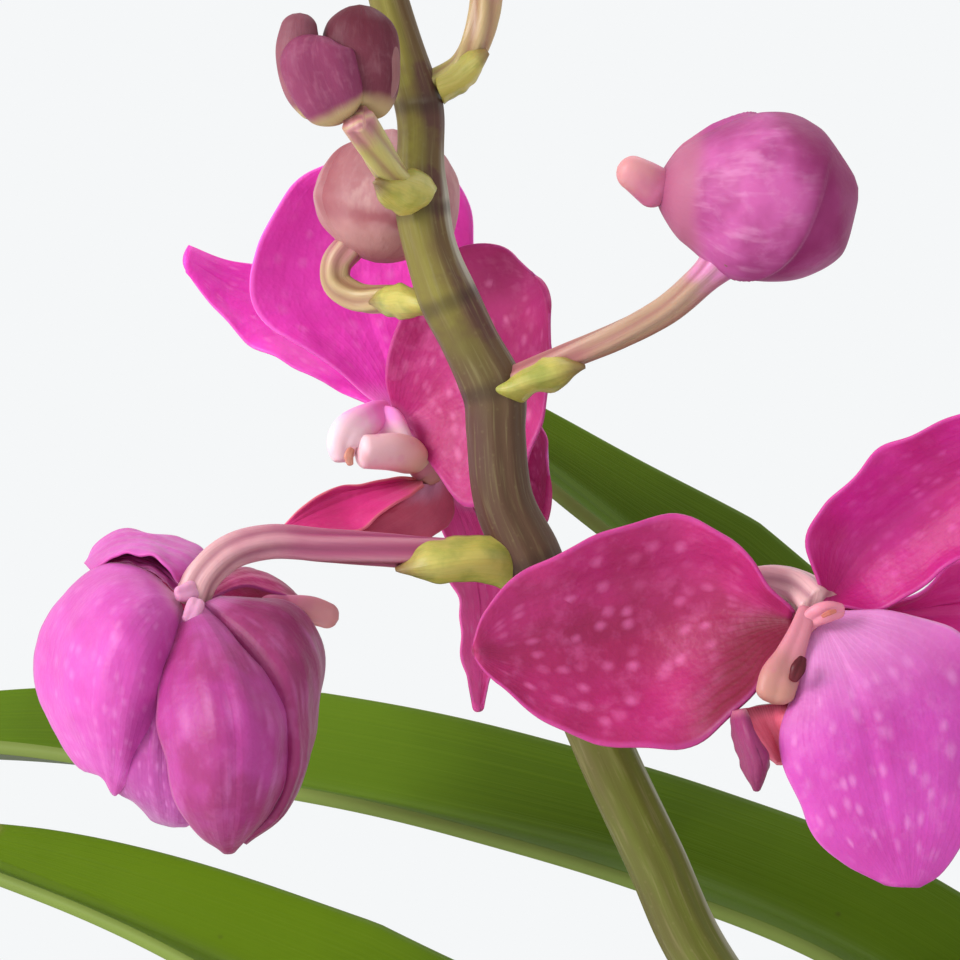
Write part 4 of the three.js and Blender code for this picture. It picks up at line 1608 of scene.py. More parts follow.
COLUMNS: dict[str, Points] = PHOTO.places({
    "a_body": [
        [808, 606, -22.5], [800, 632, -23.5], [789, 658, -24.5], [779, 682, -25.5], [772, 705, -26],
    ],
    "a_heart": [[803, 632, -22], [810, 619, -23], [825, 612, -23.5], [845, 610, -23]],
    "a_pit": [[804, 657, -26.3], [799, 669, -27.3], [792, 681, -27.3]],
    "a_slit": [[821, 616, -24.8], [829, 612, -25], [837, 610, -24.8]],
    "b_body": [[424, 464, 24], [408, 456, 22], [392, 451, 20.5], [374, 451, 19], [356, 452, 18]],
    "b_lobe": [[387, 406, 25], [370, 418, 21], [352, 431, 19], [343, 446, 18], [346, 462, 18]],
    "b_heart": [[376, 414, 24], [388, 424, 22.5], [400, 436, 22], [412, 448, 22]],
    "b_fold": [[353, 448, 15.9], [349, 456, 15.5], [350, 465, 15.7]],
    "b_link": [[412, 463, 23], [428, 471, 24], [431, 486, 24]],
    "c_knee": [[199, 587, -7.5], [186, 593, -9.5], [174, 594, -10.5]],
    "c_foot": [[197, 601, -9.5], [192, 612, -11.5], [187, 623, -12.5]],
})
STALKS: dict[str, Points] = PHOTO.places({
    "a": [
        [572, 684, -1], [610, 664, -5], [650, 640, -7], [705, 605, -8], [760, 584, -11],
        [800, 590, -16], [820, 608, -19],
    ],
    "b": [[548, 612, 2], [552, 596, 9], [540, 560, 18], [505, 515, 26], [455, 470, 29], [415, 430, 28]],
    "c": [
        [521, 552, 1], [440, 553, -2], [380, 549, -3], [320, 545, -4], [270, 543, -5], [230, 551, -6],
        [202, 575, -7], [190, 606, -7],
    ],
    "d": [
        [492, 388, -1], [560, 360, -2], [620, 333, -3], [668, 308, -3], [700, 282, -3], [722, 262, -3],
    ],
    "e": [
        [440, 303, 2], [418, 301, 5], [394, 299, 8], [358, 298, 11], [338, 283, 12], [338, 262, 12],
        [352, 244, 12],
    ],
    "f": [[414, 199, 0], [388, 168, -8], [372, 145, -11], [358, 118, -14]],
    "g": [[426, 88, 0], [462, 68, 0], [477, 40, -1], [485, 8, -1], [489, -20, -1]],
})
SPURS: dict[str, Points] = PHOTO.places({
    "c": [[262, 610, -1], [284, 610, 2], [310, 611, 2], [338, 619, 2]],
    "d": [[668, 196, -3], [652, 185, -4], [634, 174, -5], [617, 166, -5]],
})
BUDS: dict[str, Points] = PHOTO.places({
    "d": [[655, 192, -3], [710, 194, -3], [760, 197, -3], [810, 195, -3], [859, 187, -3]],
    "e": [[374, 262, 12], [380, 234, 12], [387, 196, 12], [391, 160, 12], [393, 128, 12]],
    "f_right": [
        [354, 118, -10.5], [363, 95, -10.5], [362, 62, -10.5], [360, 28, -10.5], [360, 4, -10.5],
    ],
    "f_left": [[322, 115, -11], [303, 88, -12], [299, 55, -12], [300, 13, -11.5]],
    "f_front": [[344, 122, -12], [333, 100, -13], [322, 75, -13.3], [317, 52, -13], [318, 36, -12.5]],
    "f_side": [[379, 110, -11.2], [386, 85, -11.4], [385, 52, -11.4], [377, 24, -11]],
    "d_flap": [[723, 254, -6.2], [730, 259, -6.8], [737, 265, -6.2]],
    "g": [[489, -10, -1], [492, -45, -2], [494, -80, -2], [494, -118, -2]],
})
BRACTS: dict[str, dict[str, Points]] = PHOTO.places({
    "c": {
        "left": [
            [507, 536, -1], [480, 535, -2], [450, 537, -2.5], [420, 540, -3], [407, 556, -3],
            [396, 569, -3],
        ],
        "mid": [
            [517, 562, -2.2], [488, 559, -5], [456, 560, -6], [428, 564, -6], [411, 568, -5],
            [396, 570, -3.5],
        ],
        "right": [
            [512, 594, -1], [490, 584, -2.5], [470, 580, -3], [446, 583, -3.5], [418, 577, -4],
            [396, 571, -4],
        ],
    },
    "d": {
        "left": [
            [489, 386, 0], [503, 379, -1], [520, 368, -1.5], [540, 358, -2], [560, 355, -2.5],
            [583, 365, -3],
        ],
        "mid": [
            [489, 388, -2.5], [508, 388, -4], [528, 381, -4.6], [548, 375, -4.8], [567, 370, -4.6],
            [584, 366, -3.6],
        ],
        "right": [
            [489, 391, 0], [500, 398, -1], [518, 403, -1.5], [534, 395, -2], [556, 391, -2.5],
            [583, 367, -3],
        ],
    },
    "e": {
        "left": [
            [426, 296, 3], [410, 288, 4], [398, 283.5, 5], [385, 287, 6.5], [376, 294, 8],
            [371, 301, 9],
        ],
        "mid": [
            [426, 305, 0.5], [410, 303, 1.5], [398, 301, 3], [388, 301, 4.5], [379, 301, 6.5],
            [371, 302, 8.5],
        ],
        "right": [
            [426, 313, 3], [412, 318, 4], [401, 319, 5], [390, 316, 6.5], [378, 309, 8], [371, 303, 9],
        ],
    },
    "f": {
        "left": [
            [424, 207, -2], [410, 213, -3], [398, 213, -4], [388, 207, -5], [379, 198, -6.5],
            [374, 182, -8],
        ],
        "mid": [
            [430, 198, -5], [414, 196, -7], [401, 191, -8], [390, 187, -9], [381, 183, -9.5],
            [375, 180, -9.5],
        ],
        "right": [
            [437, 189, -2], [430, 179, -3], [416, 171, -4], [402, 170, -5], [388, 173, -6.5],
            [376, 179, -9],
        ],
    },
    "g": {
        "left": [
            [436, 77, 0], [448, 69, -0.5], [456, 61, -1], [465, 53, -1.5], [475, 49, -2],
            [485, 50, -2],
        ],
        "mid": [
            [438, 88, -2.5], [452, 82, -3], [463, 75, -3.2], [472, 67, -3.4], [480, 59, -3.4],
            [487, 52, -3],
        ],
        "right": [
            [444, 103, 0], [458, 95, -0.5], [469, 88, -1], [478, 77, -1.5], [484, 66, -2],
            [488, 55, -2.5],
        ],
    },
})
SPIKE: Points = PHOTO.places([
    [703, 960, 0], [655, 856, 0], [605, 752, 0], [560, 640, 0], [527, 554, 0], [504, 500, 0],
    [497, 433, 0], [494, 395, 0], [470, 340, 0], [443, 287, 0], [426, 230, 0], [420, 172, 0],
    [420, 115, 0], [411, 76, 0], [390, 0, 0], [366, -90, 0], [338, -190, 0], [305, -300, 0],
])

# Millimetres. The photograph doesn't show these: the spike's foot in the part's own frame, and
# the tip's last buds from the spray's middle, each with its size.
SPIKE_FOOT: Points = [[-4, -4, 205], [-9, -8, 215], [-26, -16, 236], [-53, -19, 266]]
TIP_BUDS: Points = [[-15, 4, 66, 3.6], [-10, -5, 72, 3], [-21, -3, 79, 2.6], [-15, 3, 84, 2.2]]


@dataclass
class Spray:
    """The flower spike with its open flowers, the opening one, the buds and the bracts."""

    # petal_inner: its dark throat by the column is partly the petal's own throat and partly painted shade
    # of the column.
    inner: PetalFinish = PetalFinish(
        "petal_inner", (0.39, 0.01, 0.125), (0.25, 0.003, 0.055), (0.62, 0.12, 0.33),
        (0.14, 0.001, 0.016), (0.5, 0.05, 0.3), 0.6, throat_end=0.24, lean=0.6, core=0.7,
    )
    upper: PetalFinish = PetalFinish(
        "petal_upper", (0.47, 0.006, 0.2), (0.34, 0.003, 0.1), (0.6, 0.08, 0.34),
        (0.34, 0.003, 0.1), (0.5, 0.05, 0.3), 0.4, core=0.2,
    )
    lower: PetalFinish = PetalFinish(
        "petal_lower", (0.47, 0.045, 0.33), (0.38, 0.02, 0.23), (0.62, 0.22, 0.5),
        (0.62, 0.24, 0.5), (0.54, 0.15, 0.42), 0.5, 12.0, 11.0, throat_end=0.5, tip=0.4,
    )
    far: PetalFinish = PetalFinish(
        "petal_far", (0.8, 0.045, 0.48), (0.6, 0.018, 0.32), (0.88, 0.22, 0.62),
        (0.86, 0.24, 0.64), (0.8, 0.16, 0.58), 0.35, throat_end=0.14,
    )
    near: PetalFinish = PetalFinish(
        "petal_near", (0.43, 0.014, 0.155), (0.33, 0.006, 0.09), (0.68, 0.17, 0.38),
        (0.66, 0.16, 0.4), (0.56, 0.1, 0.36), 0.6, 10.0, 12.0, throat_end=0.08,
    )
    outer: PetalFinish = PetalFinish(
        "petal_outer", (0.47, 0.045, 0.33), (0.38, 0.02, 0.23), (0.6, 0.2, 0.48),
        (0.58, 0.18, 0.44), (0.54, 0.15, 0.42), 0.45, 9.0, 9.0, tip=0.35, throat_end=0.12,
    )
    opening: PetalFinish = PetalFinish(
        "petal_opening", (0.52, 0.066, 0.37), (0.42, 0.03, 0.25), (0.62, 0.2, 0.5),
        (0.6, 0.26, 0.42), (0.55, 0.1, 0.36), 0.35, 12.0, 14.0, 0.14,
    )
    # petal_closing_shaded: the opening flower's darker tepal colour, made darker still as painted shade for
    # the tepals that face away from the key light or lie behind others.
    closing_shaded: PetalFinish = PetalFinish(
        "petal_closing_shaded", (0.36, 0.03, 0.22), (0.22, 0.007, 0.075), (0.5, 0.13, 0.36),
        (0.52, 0.14, 0.36), (0.42, 0.07, 0.24), 0.5, 8.0, 5.0, 0.1, tip=0.95,
    )
    mauve: StalkFinish = StalkFinish(
        "stalk_mauve", (0.3, 0.04, 0.11), (0.34, 0.06, 0.14), (0.6, 0.34, 0.34),
        (0.6, 0.3, 0.34), (0.2, 0.025, 0.08), 5, head_start=0.55,
    )
    rose: StalkFinish = StalkFinish(
        "stalk_rose", (0.38, 0.13, 0.13), (0.4, 0.25, 0.15), (0.6, 0.18, 0.42),
        (0.5, 0.33, 0.26), (0.22, 0.05, 0.06), 4,
    )
    young: StalkFinish = StalkFinish(
        "stalk_young", (0.36, 0.3, 0.07), (0.38, 0.24, 0.12), (0.42, 0.16, 0.18),
        (0.5, 0.4, 0.18), (0.24, 0.1, 0.06), 5,
    )
    blush: WaxFinish = WaxFinish(
        "column_blush", (0.5, 0.17, 0.22), (0.42, 0.19, 0.15), (0.5, 0.1, 0.22), 0.3, 0.3, 1.0
    )
    cream: WaxFinish = WaxFinish(
        "column_cream", (0.7, 0.44, 0.33), (0.84, 0.54, 0.58), (0.7, 0.2, 0.4), 0.25, 0.1, 0.9
    )
    lilac: WaxFinish = WaxFinish(
        "column_lilac", (0.95, 0.28, 0.68), (0.84, 0.58, 0.64), (0.7, 0.3, 0.5), 0.15, 0.3, 0.7
    )
    heart: WaxFinish = WaxFinish(
        "heart_peach", (0.62, 0.22, 0.28), (0.6, 0.2, 0.27), (0.6, 0.2, 0.3), 0.2, 0.2, 0.6
    )
    pale: WaxFinish = WaxFinish(
        "heart_pale", (0.66, 0.3, 0.46), (0.6, 0.25, 0.42), (0.6, 0.15, 0.36), 0.3, 0.2, 0.9
    )
    # Painted shade: a near-black lump that stands for the shade inside the column's pit.
    pit_shade: WaxFinish = WaxFinish(
        "pit_painted_shade", (0.07, 0.001, 0.006), (0.09, 0.001, 0.008), (0.06, 0.0, 0.005)
    )
    slit: WaxFinish = WaxFinish("slit_brown", (0.42, 0.12, 0.09), (0.44, 0.14, 0.1), (0.4, 0.1, 0.08))
    # Painted shadow: a tan lump laid where the lower left edge of flower B's column is in shadow.
    tan: WaxFinish = WaxFinish("fold_painted_shadow", (0.5, 0.2, 0.14), (0.55, 0.27, 0.2), (0.5, 0.2, 0.15))
    tongue: PetalFinish = PetalFinish(
        "lip_tongue", (0.58, 0.02, 0.18), (0.42, 0.008, 0.1), (0.62, 0.1, 0.22),
        (0.5, 0.08, 0.12), (0.7, 0.24, 0.2), 0.15, throat_end=0.25,
    )
    # lip_coral: its near-black throat colour is a painted shadow under the column.
    coral: PetalFinish = PetalFinish(
        "lip_coral", (0.8, 0.17, 0.26), (0.55, 0.02, 0.09), (0.8, 0.3, 0.36),
        (0.16, 0.002, 0.02), (0.56, 0.2, 0.22), 0.15, throat_end=0.25,
    )
    wine: PetalFinish = PetalFinish(
        "lip_wine", (0.22, 0.014, 0.09), (0.15, 0.006, 0.045), (0.3, 0.05, 0.16),
        (0.4, 0.1, 0.17), (0.28, 0.05, 0.16), 0.15, throat_end=0.14,
    )
    dusky: PetalFinish = PetalFinish(
        "lip_dusky", (0.5, 0.075, 0.14), (0.32, 0.016, 0.065), (0.5, 0.13, 0.18),
        (0.58, 0.25, 0.38), (0.5, 0.16, 0.18), 0.15, throat_end=0.4, lean=-0.3,
    )
    salmon: WaxFinish = WaxFinish(
        "spur_salmon", (0.48, 0.12, 0.23), (0.54, 0.23, 0.24), (0.6, 0.2, 0.26), 0.12
    )
    yellow: BractFinish = BractFinish(
        "bract_yellow", (0.44, 0.37, 0.075), (0.26, 0.27, 0.04), (0.13, 0.045, 0.03)
    )

    def build(self) -> None:
        """Makes every piece of the spray."""
        self._spike()
        self._flowers()
        self._hearts()
        self._lips()
        self._stalks()
        self._buds()
        bract = self.yellow.material()
        for key, lines in BRACTS.items():
            scale = Tepal(
                f"bract_{key}", thick=0.0006, ruffle=0.0001, dimple=0.0, ridges=0.00003,
                rows=30, columns=26, **lines
            )
            scale.build(bract, bract, scale.name, "bract_yellow")

    def _flowers(self) -> None:
        """Makes the tepals of the two open flowers and of the opening one."""
        outer, opening, closing_shaded = self.outer.material(), self.opening.material(), self.closing_shaded.material()
        inner, upper, near = self.inner.material(), self.upper.material(), self.near.material()
        far = self.far.material()
        lit = replace(
            self.upper, name="petal_lit", base=(0.66, 0.025, 0.27), deep=(0.5, 0.012, 0.18)
        ).material()
        # Painted light: the hanging sepal's own magenta, made brighter as a lit copy of the near finish.
        hanging_lit = replace(
            self.near, name="petal_hanging_lit", base=(0.7, 0.06, 0.3), deep=(0.55, 0.03, 0.2)
        ).material()
        own = {
            ("a", "left_petal"): inner, ("a", "dorsal_sepal"): lit,
            ("a", "lower_sepal"): self.lower.material(),
            ("b", "far_petal"): far, ("b", "dorsal_sepal"): far, ("b", "hanging_sepal"): hanging_lit,
        }
        for key, flower, usual in (("a", FLOWER_A, upper), ("b", FLOWER_B, near)):
            for name, lines in flower.items():
                seen = Side.OUTER if name in ("lower_sepal", "hanging_sepal") else Side.INNER
                shown = own.get((key, name), usual)
                faces = (shown, outer) if seen is Side.INNER else (inner, shown)
                tepal = Tepal(f"flower_{key}_{name}", seen=seen, **lines)
                tepal.build(*faces, f"flower_{key}_tepals", "petal_magenta")
        shaded = replace(
            self.closing_shaded, name="petal_shaded", base=(0.27, 0.02, 0.12), deep=(0.19, 0.007, 0.07)
        )
        # Painted shade: a darker copy of the opening finish for the middle sepal, which lies deeper in the
        # flower.
        under = replace(self.opening, name="petal_middle_shade", base=(0.34, 0.04, 0.24), deep=(0.27, 0.02, 0.17))
        skins = {
            "front_sepal": closing_shaded, "side_petal": shaded.material(), "middle_sepal": under.material(),
            "right_petal": closing_shaded,
        }
        for name, lines in FLOWER_C.items():
            seen = Side.INNER if name in ("fold", "rear_sepal") else Side.OUTER
            skin = skins.get(name, opening)
            tepal = Tepal(
                f"flower_c_{name}", seen=seen, ruffle=0.0002, dimple=0.0001, ridges=0.00009, **lines
            )
            # The fold under the curled petal shows the darker finish on its front: painted shade in the
            # recess under the curl.
            tepal.build(closing_shaded if name == "fold" else inner, skin, "flower_c_tepals", "petal_lilac")

    def _hearts(self) -> None:
        """Makes the columns with their lobes and hollows; the dark lump in the pit is painted shade."""
        skins = {
            key: getattr(self, key).material()
            for key in ("blush", "cream", "lilac", "heart", "pale", "pit_shade", "slit", "tan")
        }
        for name, widths, flat, skin in (
            ("a_body", (1.0, 1.2, 1.6, 2.1, 2.0), 0.55, "blush"),
            ("a_heart", (0.8, 1.1, 1.2, 0.7), 0.4, "heart"),
            ("a_pit", (0.45, 0.8, 0.5), 0.5, "pit_shade"), ("a_slit", (0.2, 0.3, 0.2), 0.5, "slit"),
            ("b_body", (1.3, 2.1, 2.2, 2.05, 1.95), 0.85, "cream"),
            ("b_lobe", (1.0, 1.6, 2.0, 2.1, 1.3), 0.6, "lilac"),
            ("b_heart", (1.3, 1.9, 1.5, 0.8), 0.6, "lilac"),
            ("b_fold", (0.4, 0.55, 0.35), 0.6, "tan"), ("b_link", (1.3, 1.6, 1.3), 0.8, "blush"),
            ("c_knee", (1.0, 1.1, 0.8), 0.5, "pale"), ("c_foot", (0.9, 1.0, 0.7), 0.5, "pale"),
        ):
            node = f"flower_{name[0]}_column" if name[0] != "c" else "flower_c_tepals"
            slot = "column_cream" if name[0] != "c" else "petal_lilac"
            Lobe(f"flower_{name}", COLUMNS[name], widths, flat, 0.6).build(skins[skin], node, slot)

    def _lips(self) -> None:
        """Makes the lips, each a tongue with a flap beside it."""
        for key, tongue, flap in (("a", self.coral, self.wine), ("b", self.tongue, self.dusky)):
            for name, finish in (("tongue", tongue), ("flap", flap)):
                skin = finish.material()
                shape = Tepal(
                    f"flower_{key}_{name}", ruffle=0.0001, dimple=0.0, rows=40, columns=28,
                    **LIPS[key][name]
                )
                shape.build(skin, skin, f"flower_{key}_lip", "lip_crimson")

    def _stalks(self) -> None:
        """Makes the ribbed stalks and the spurs."""
        mauve, rose, young = self.mauve.material(), self.rose.material(), self.young.material()
        fresh = replace(
            self.young, name="stalk_fresh", middle=(0.4, 0.34, 0.1), rib=(0.48, 0.44, 0.15),
            furrow=(0.22, 0.08, 0.07)
        ).material()
        for key, foot, head, finish in (
            ("a", 0.0016, 0.0022, mauve), ("b", 0.0016, 0.0021, mauve), ("c", 0.0017, 0.0019, mauve),
            ("d", 0.0013, 0.0017, rose), ("e", 0.0014, 0.0017, young), ("f", 0.0015, 0.0018, fresh),
            ("g", 0.0014, 0.0018, young),
        ):
            open_flower = key in "abc"
            node = f"flower_{key}_tepals" if open_flower else f"bud_{key}"
            slot = "petal_lilac" if open_flower else "bud_pink"
            cup = 0.35 if key == "d" else 0.0
            Stalk(f"stalk_{key}", STALKS[key], foot, head, 5, cup=cup).build(finish, node, slot)
        salmon = self.salmon.material()
        Lobe("spur_c", SPURS["c"], (1.6, 1.75, 1.6, 1.35)).build(salmon, "flower_c_tepals", "petal_lilac")
        Lobe("spur_d", SPURS["d"], (2.5, 2.3, 2.0, 1.6)).build(salmon, "bud_d", "bud_pink")

    def _buds(self) -> None:
        """Makes the closed buds; the third shows its sepals' parting tips."""
        rosy = BudFinish(
            "bud_rose", (0.45, 0.085, 0.28), (0.2, 0.008, 0.085), (0.56, 0.22, 0.4), (0.36, 0.1, 0.18),
            Seams(2, 0.567, 1.05, 0.0007), 0.26, 0.45, 0.85, (0.4035, 0.4075),
        )
        dusty = BudFinish(
            "bud_dusty", (0.4, 0.19, 0.2), (0.24, 0.05, 0.065), (0.48, 0.29, 0.27), (0.42, 0.2, 0.19),
            Seams(4, 0.35, 0.2, 0.0005), 0.3, blush=0.8,
        )
        dusk = BudFinish(
            "bud_dusk", (0.13, 0.022, 0.04), (0.08, 0.006, 0.016), (0.24, 0.1, 0.12), (0.42, 0.3, 0.15),
            Seams(1, 0.5, 0.0, 0.0001), 0.25, 0.25, 0.8,
        )
        left = replace(dusk, name="bud_left", base=(0.26, 0.085, 0.11), deep=(0.13, 0.03, 0.05), tip=0.5)
        front = replace(
            dusk, name="bud_front", base=(0.2, 0.03, 0.085), deep=(0.15, 0.014, 0.05),
            pale=(0.36, 0.13, 0.2), tip=0.0
        )
        side = replace(
            dusk, name="bud_side", base=(0.27, 0.12, 0.12), deep=(0.17, 0.06, 0.065), tip=0.6, collar=0.1
        )
        skin = dusk.material()
        for name, widths, flat, finish in (
            ("d", (3.4, 5.4, 7.6, 9.2, 9.6, 9.1, 7.2, 3.4), 1.0, rosy),
            ("e", (4.6, 7.0, 8.1, 7.9, 6.2, 2.6), 1.0, dusty),
        ):
            bud = Lobe(f"bud_{name}_sepals", BUDS[name], widths, flat, seams=finish.seams)
            if name == "e":
                bud.uneven, bud.knob = 0.0005, 0.0012
            bud.build(finish.material(), f"bud_{name}", "bud_pink")
        for name, widths, flat, finish in (
            ("f_right", (2.2, 3.7, 4.2, 4.0, 2.6), 0.8, skin),
            ("f_left", (1.7, 2.2, 2.4, 1.7), 0.8, left.material()),
            ("f_front", (2.4, 3.5, 4.0, 4.1, 3.2), 0.6, front.material()),
            ("f_side", (0.9, 1.4, 1.4, 0.8), 0.8, side.material()),
            ("d_flap", (0.6, 0.9, 0.6), 0.5, side.material()),
        ):
            Lobe(f"bud_{name}", BUDS[name], widths, flat, 0.8).build(finish, f"bud_{name[0]}", "bud_pink")
        top = Lobe(
            "bud_g_sepals", BUDS["g"], (2.2, 4.2, 5.0, 4.4, 2.0), 1.0, seams=Seams(3, 0.1, 0.4, 0.0004)
        )
        top.build(skin, "bud_g", "bud_pink")

    def _spike(self) -> None:
        """Makes the spike's own stem and the youngest buds at its tip."""
        line = Line([Vector(p) * MM for p in SPIKE_FOOT] + in_spray(SPIKE))
        rings = tuple(self._share(line, in_spray(lines["mid"])[0]) for lines in BRACTS.values())

        def radius(along: float, angle: float) -> float:
            """Returns the half width, ribbed, and thicker at each node."""
            taper = 1.05 if along < 0.7 else 1.05 - 1.9 * (along - 0.7)
            ribs = 0.022 * math.cos(9 * angle) + 0.018 * math.sin(4 * angle + along * 30)
            node = sum(math.exp(-(((along - ring) / 0.014) ** 2)) for ring in rings)
            step = sum(
                0.05 / (1 + math.exp((along - ring - 0.006) / 0.0012)) for ring in rings
            ) / len(rings)
            return 0.003 * (taper + 0.09 * node + step) * (1 + ribs)

        bm = rod(line, radius, 420, 60, 0.5)
        for x, y, z, size in TIP_BUDS:
            join(bm, self._tip_bud(line, in_spray([[x, y, z]])[0], size * MM))
        olive = SpikeFinish(
            "spike_olive", (0.1, 0.11, 0.012), (0.19, 0.165, 0.028), (0.085, 0.036, 0.026),
            (0.22, 0.19, 0.08), (0.37, 0.35, 0.27), rings,
        )
        piece("flower_spike", bm, [olive.material()], ["flower_spike"], "spike_olive")

    @staticmethod
    def _share(line: Line, place: Vector) -> float:
        """Returns the share of the line's length nearest to a place."""
        return min((k / 400 for k in range(401)), key=lambda t: (line.at(t) - place).length)

    @staticmethod
    def _tip_bud(line: Line, place: Vector, size: float) -> bmesh.types.BMesh:
        """Makes one of the youngest buds on its short stalk.

        Args:
            line: The spike's middle.
            place: The bud's centre.
            size: Its radius.

        Returns:
            The bmesh.
        """
        bud = bmesh.new()
        bud.loops.layers.uv.new("UVMap")
        bmesh.ops.create_uvsphere(bud, u_segments=24, v_segments=16, radius=size, calc_uvs=True)
        bmesh.ops.scale(bud, vec=(0.85, 0.85, 1.15), verts=bud.verts)
        bmesh.ops.translate(bud, vec=place, verts=bud.verts)
        below = [line.at(0.8 + 0.2 * k / 40) for k in range(41)]
        foot = min(below, key=lambda p: (p - place).length + abs(p.z - place.z + 0.006))
        bend = (foot + place) / 2 + Vector((0, 0, -0.001))
        join(bud, rod(Line([foot, bend, place]), lambda _along, _angle: 0.0009, 10, 14))
        return bud


@dataclass
class Foliage:
    """The upright stem with its leaves in two ranks and its aerial roots."""

    upper: LeafFinish = LeafFinish(
        "leaf_upper", (0.08, 0.145, 0.004), (0.055, 0.1, 0.002), (0.11, 0.18, 0.006),
        (0.2, 0.24, 0.07), 0.46, 0.08
    )
    # The leaves' underside, also used on the stem: its own duller green, darkened further as painted shade.
    under: LeafFinish = LeafFinish(
        "leaf_under_shaded", (0.075, 0.095, 0.022), (0.058, 0.075, 0.018), (0.1, 0.12, 0.035),
        (0.16, 0.19, 0.07), 0.5, 0.15
    )
    # Painted light: a lighter copy of the upper leaf finish, for the leaves that catch more light.
    young: LeafFinish = LeafFinish(
        "leaf_upper_lit", (0.11, 0.19, 0.004), (0.075, 0.135, 0.002), (0.15, 0.23, 0.008),
        (0.2, 0.24, 0.07), 0.44, 0.1
    )
    silver: RootFinish = RootFinish("root_silver", (0.5, 0.52, 0.42), (0.22, 0.3, 0.12), (0.25, 0.42, 0.06))
    left: tuple[tuple, ...] = (
        (286, ((30, 307), (70, 332), (98, 354), (108, 361)), 12, 23),
        (250, ((25, 269), (56, 294), (82, 305.5), (104, 311), (150, 318.5), (180, 319.5)), 14, 23),
        (214, ((28, 240), (60, 259.5), (105, 280), (140, 295.5), (172, 307.5)), 14, 23),
        (186, ((30, 212), (80, 234), (140, 241), (195, 231)), 15, 12),
        (158, ((32, 179), (85, 197), (150, 196), (212, 172)), 15, 8),
        (132, ((34, 148), (90, 160), (155, 150), (205, 122)), 15, 5),
    )
    right: tuple[tuple, ...] = (
        (294, ((16, 322), (38, 352), (60, 372), (72, 378)), 10, 0),
        (266, ((24, 294), (62, 326), (108, 344), (146, 348)), 13, -8),
        (236, ((28, 260), (76, 290), (132, 302), (186, 296)), 14, -8),
        (206, ((30, 228), (84, 254), (150, 260), (214, 242)), 15, -6),
        (176, ((32, 197), (88, 218), (154, 216), (220, 190)), 15, -5),
        (146, ((34, 164), (90, 180), (152, 172), (208, 144)), 15, -4),
    )
    roots: tuple[tuple, ...] = (
        ((4, -5, 128), (14, -16, 122), (26, -28, 110), (31, -34, 96)),
        ((-5, -4, 120), (-18, -14, 117), (-33, -18, 108), (-38, -20, 96)),
        ((-2, 6, 119), (-10, 19, 119), (-21, 33, 110), (-24, 38, 96)),
        ((6, 3, 116), (18, 12, 115), (34, 20, 108), (40, 24, 96)),
    )

    def build(self) -> None:
        """Makes the stem, leaves and roots."""
        upper, young, under = self.upper.material(), self.young.material(), self.under.material()
        for rank, side, leaves in (("left", -1, self.left), ("right", 1, self.right)):
            for number, (foot, keel, width, roll) in enumerate(leaves, 1):
                # Leaves left 3, left 5 and right 4 take the lighter finish as painted light.
                face = young if (rank, number) in (("left", 3), ("left", 5), ("right", 4)) else upper
                StrapLeaf(f"leaf_{rank}_{number}", foot, keel, width, roll, side).build(face, under)
        self._stem(under)
        silver = self.silver.material()
        for number, points in enumerate(self.roots, 1):
            self._root(f"aerial_root_{number}", points, silver)

    def _stem(self, finish: bpy.types.Material) -> None:
        """Makes the stem, wrapped in the leaves' sheaths, which step out at each leaf."""
        low, high, thick = 0.062, 0.3, 0.0075
        points = [
            Vector((0.0008 * math.sin(k * 1.9), 0.0006 * math.cos(k * 2.3), low + (high - low) * k / 8))
            for k in range(9)
        ]
        feet = sorted((leaf[0] * MM for leaf in (*self.left, *self.right)))

        def radius(along: float, angle: float) -> float:
            """Returns the half width, stepping in just above each leaf's foot."""
            z = low + (high - low) * along
            above = [foot for foot in feet if foot >= z]
            gap = (above[0] - z) if above else 0.01
            step = 0.00045 * (1 - min(gap / 0.014, 1))
            return (thick - 0.0022 * along) * (1 + 0.01 * math.cos(14 * angle)) + step

        piece("plant_stem", rod(Line(points), radius, 200, 56), [finish], ["plant_stem"], "stem_green")

    @staticmethod
    def _root(name: str, points: Points, finish: bpy.types.Material) -> None:
        """Makes one aerial root, a little uneven."""

        def radius(along: float, angle: float) -> float:
            """Returns the half width."""
            bumps = noise.noise(Vector((along * 9, math.cos(angle), math.sin(angle))))
            return 0.0022 * (1 - 0.15 * along) * (1 + 0.07 * bumps)

        piece(
            name, rod(Line([Vector(p) * MM for p in points]), radius, 70, 28), [finish], [name], "root_grey"
        )


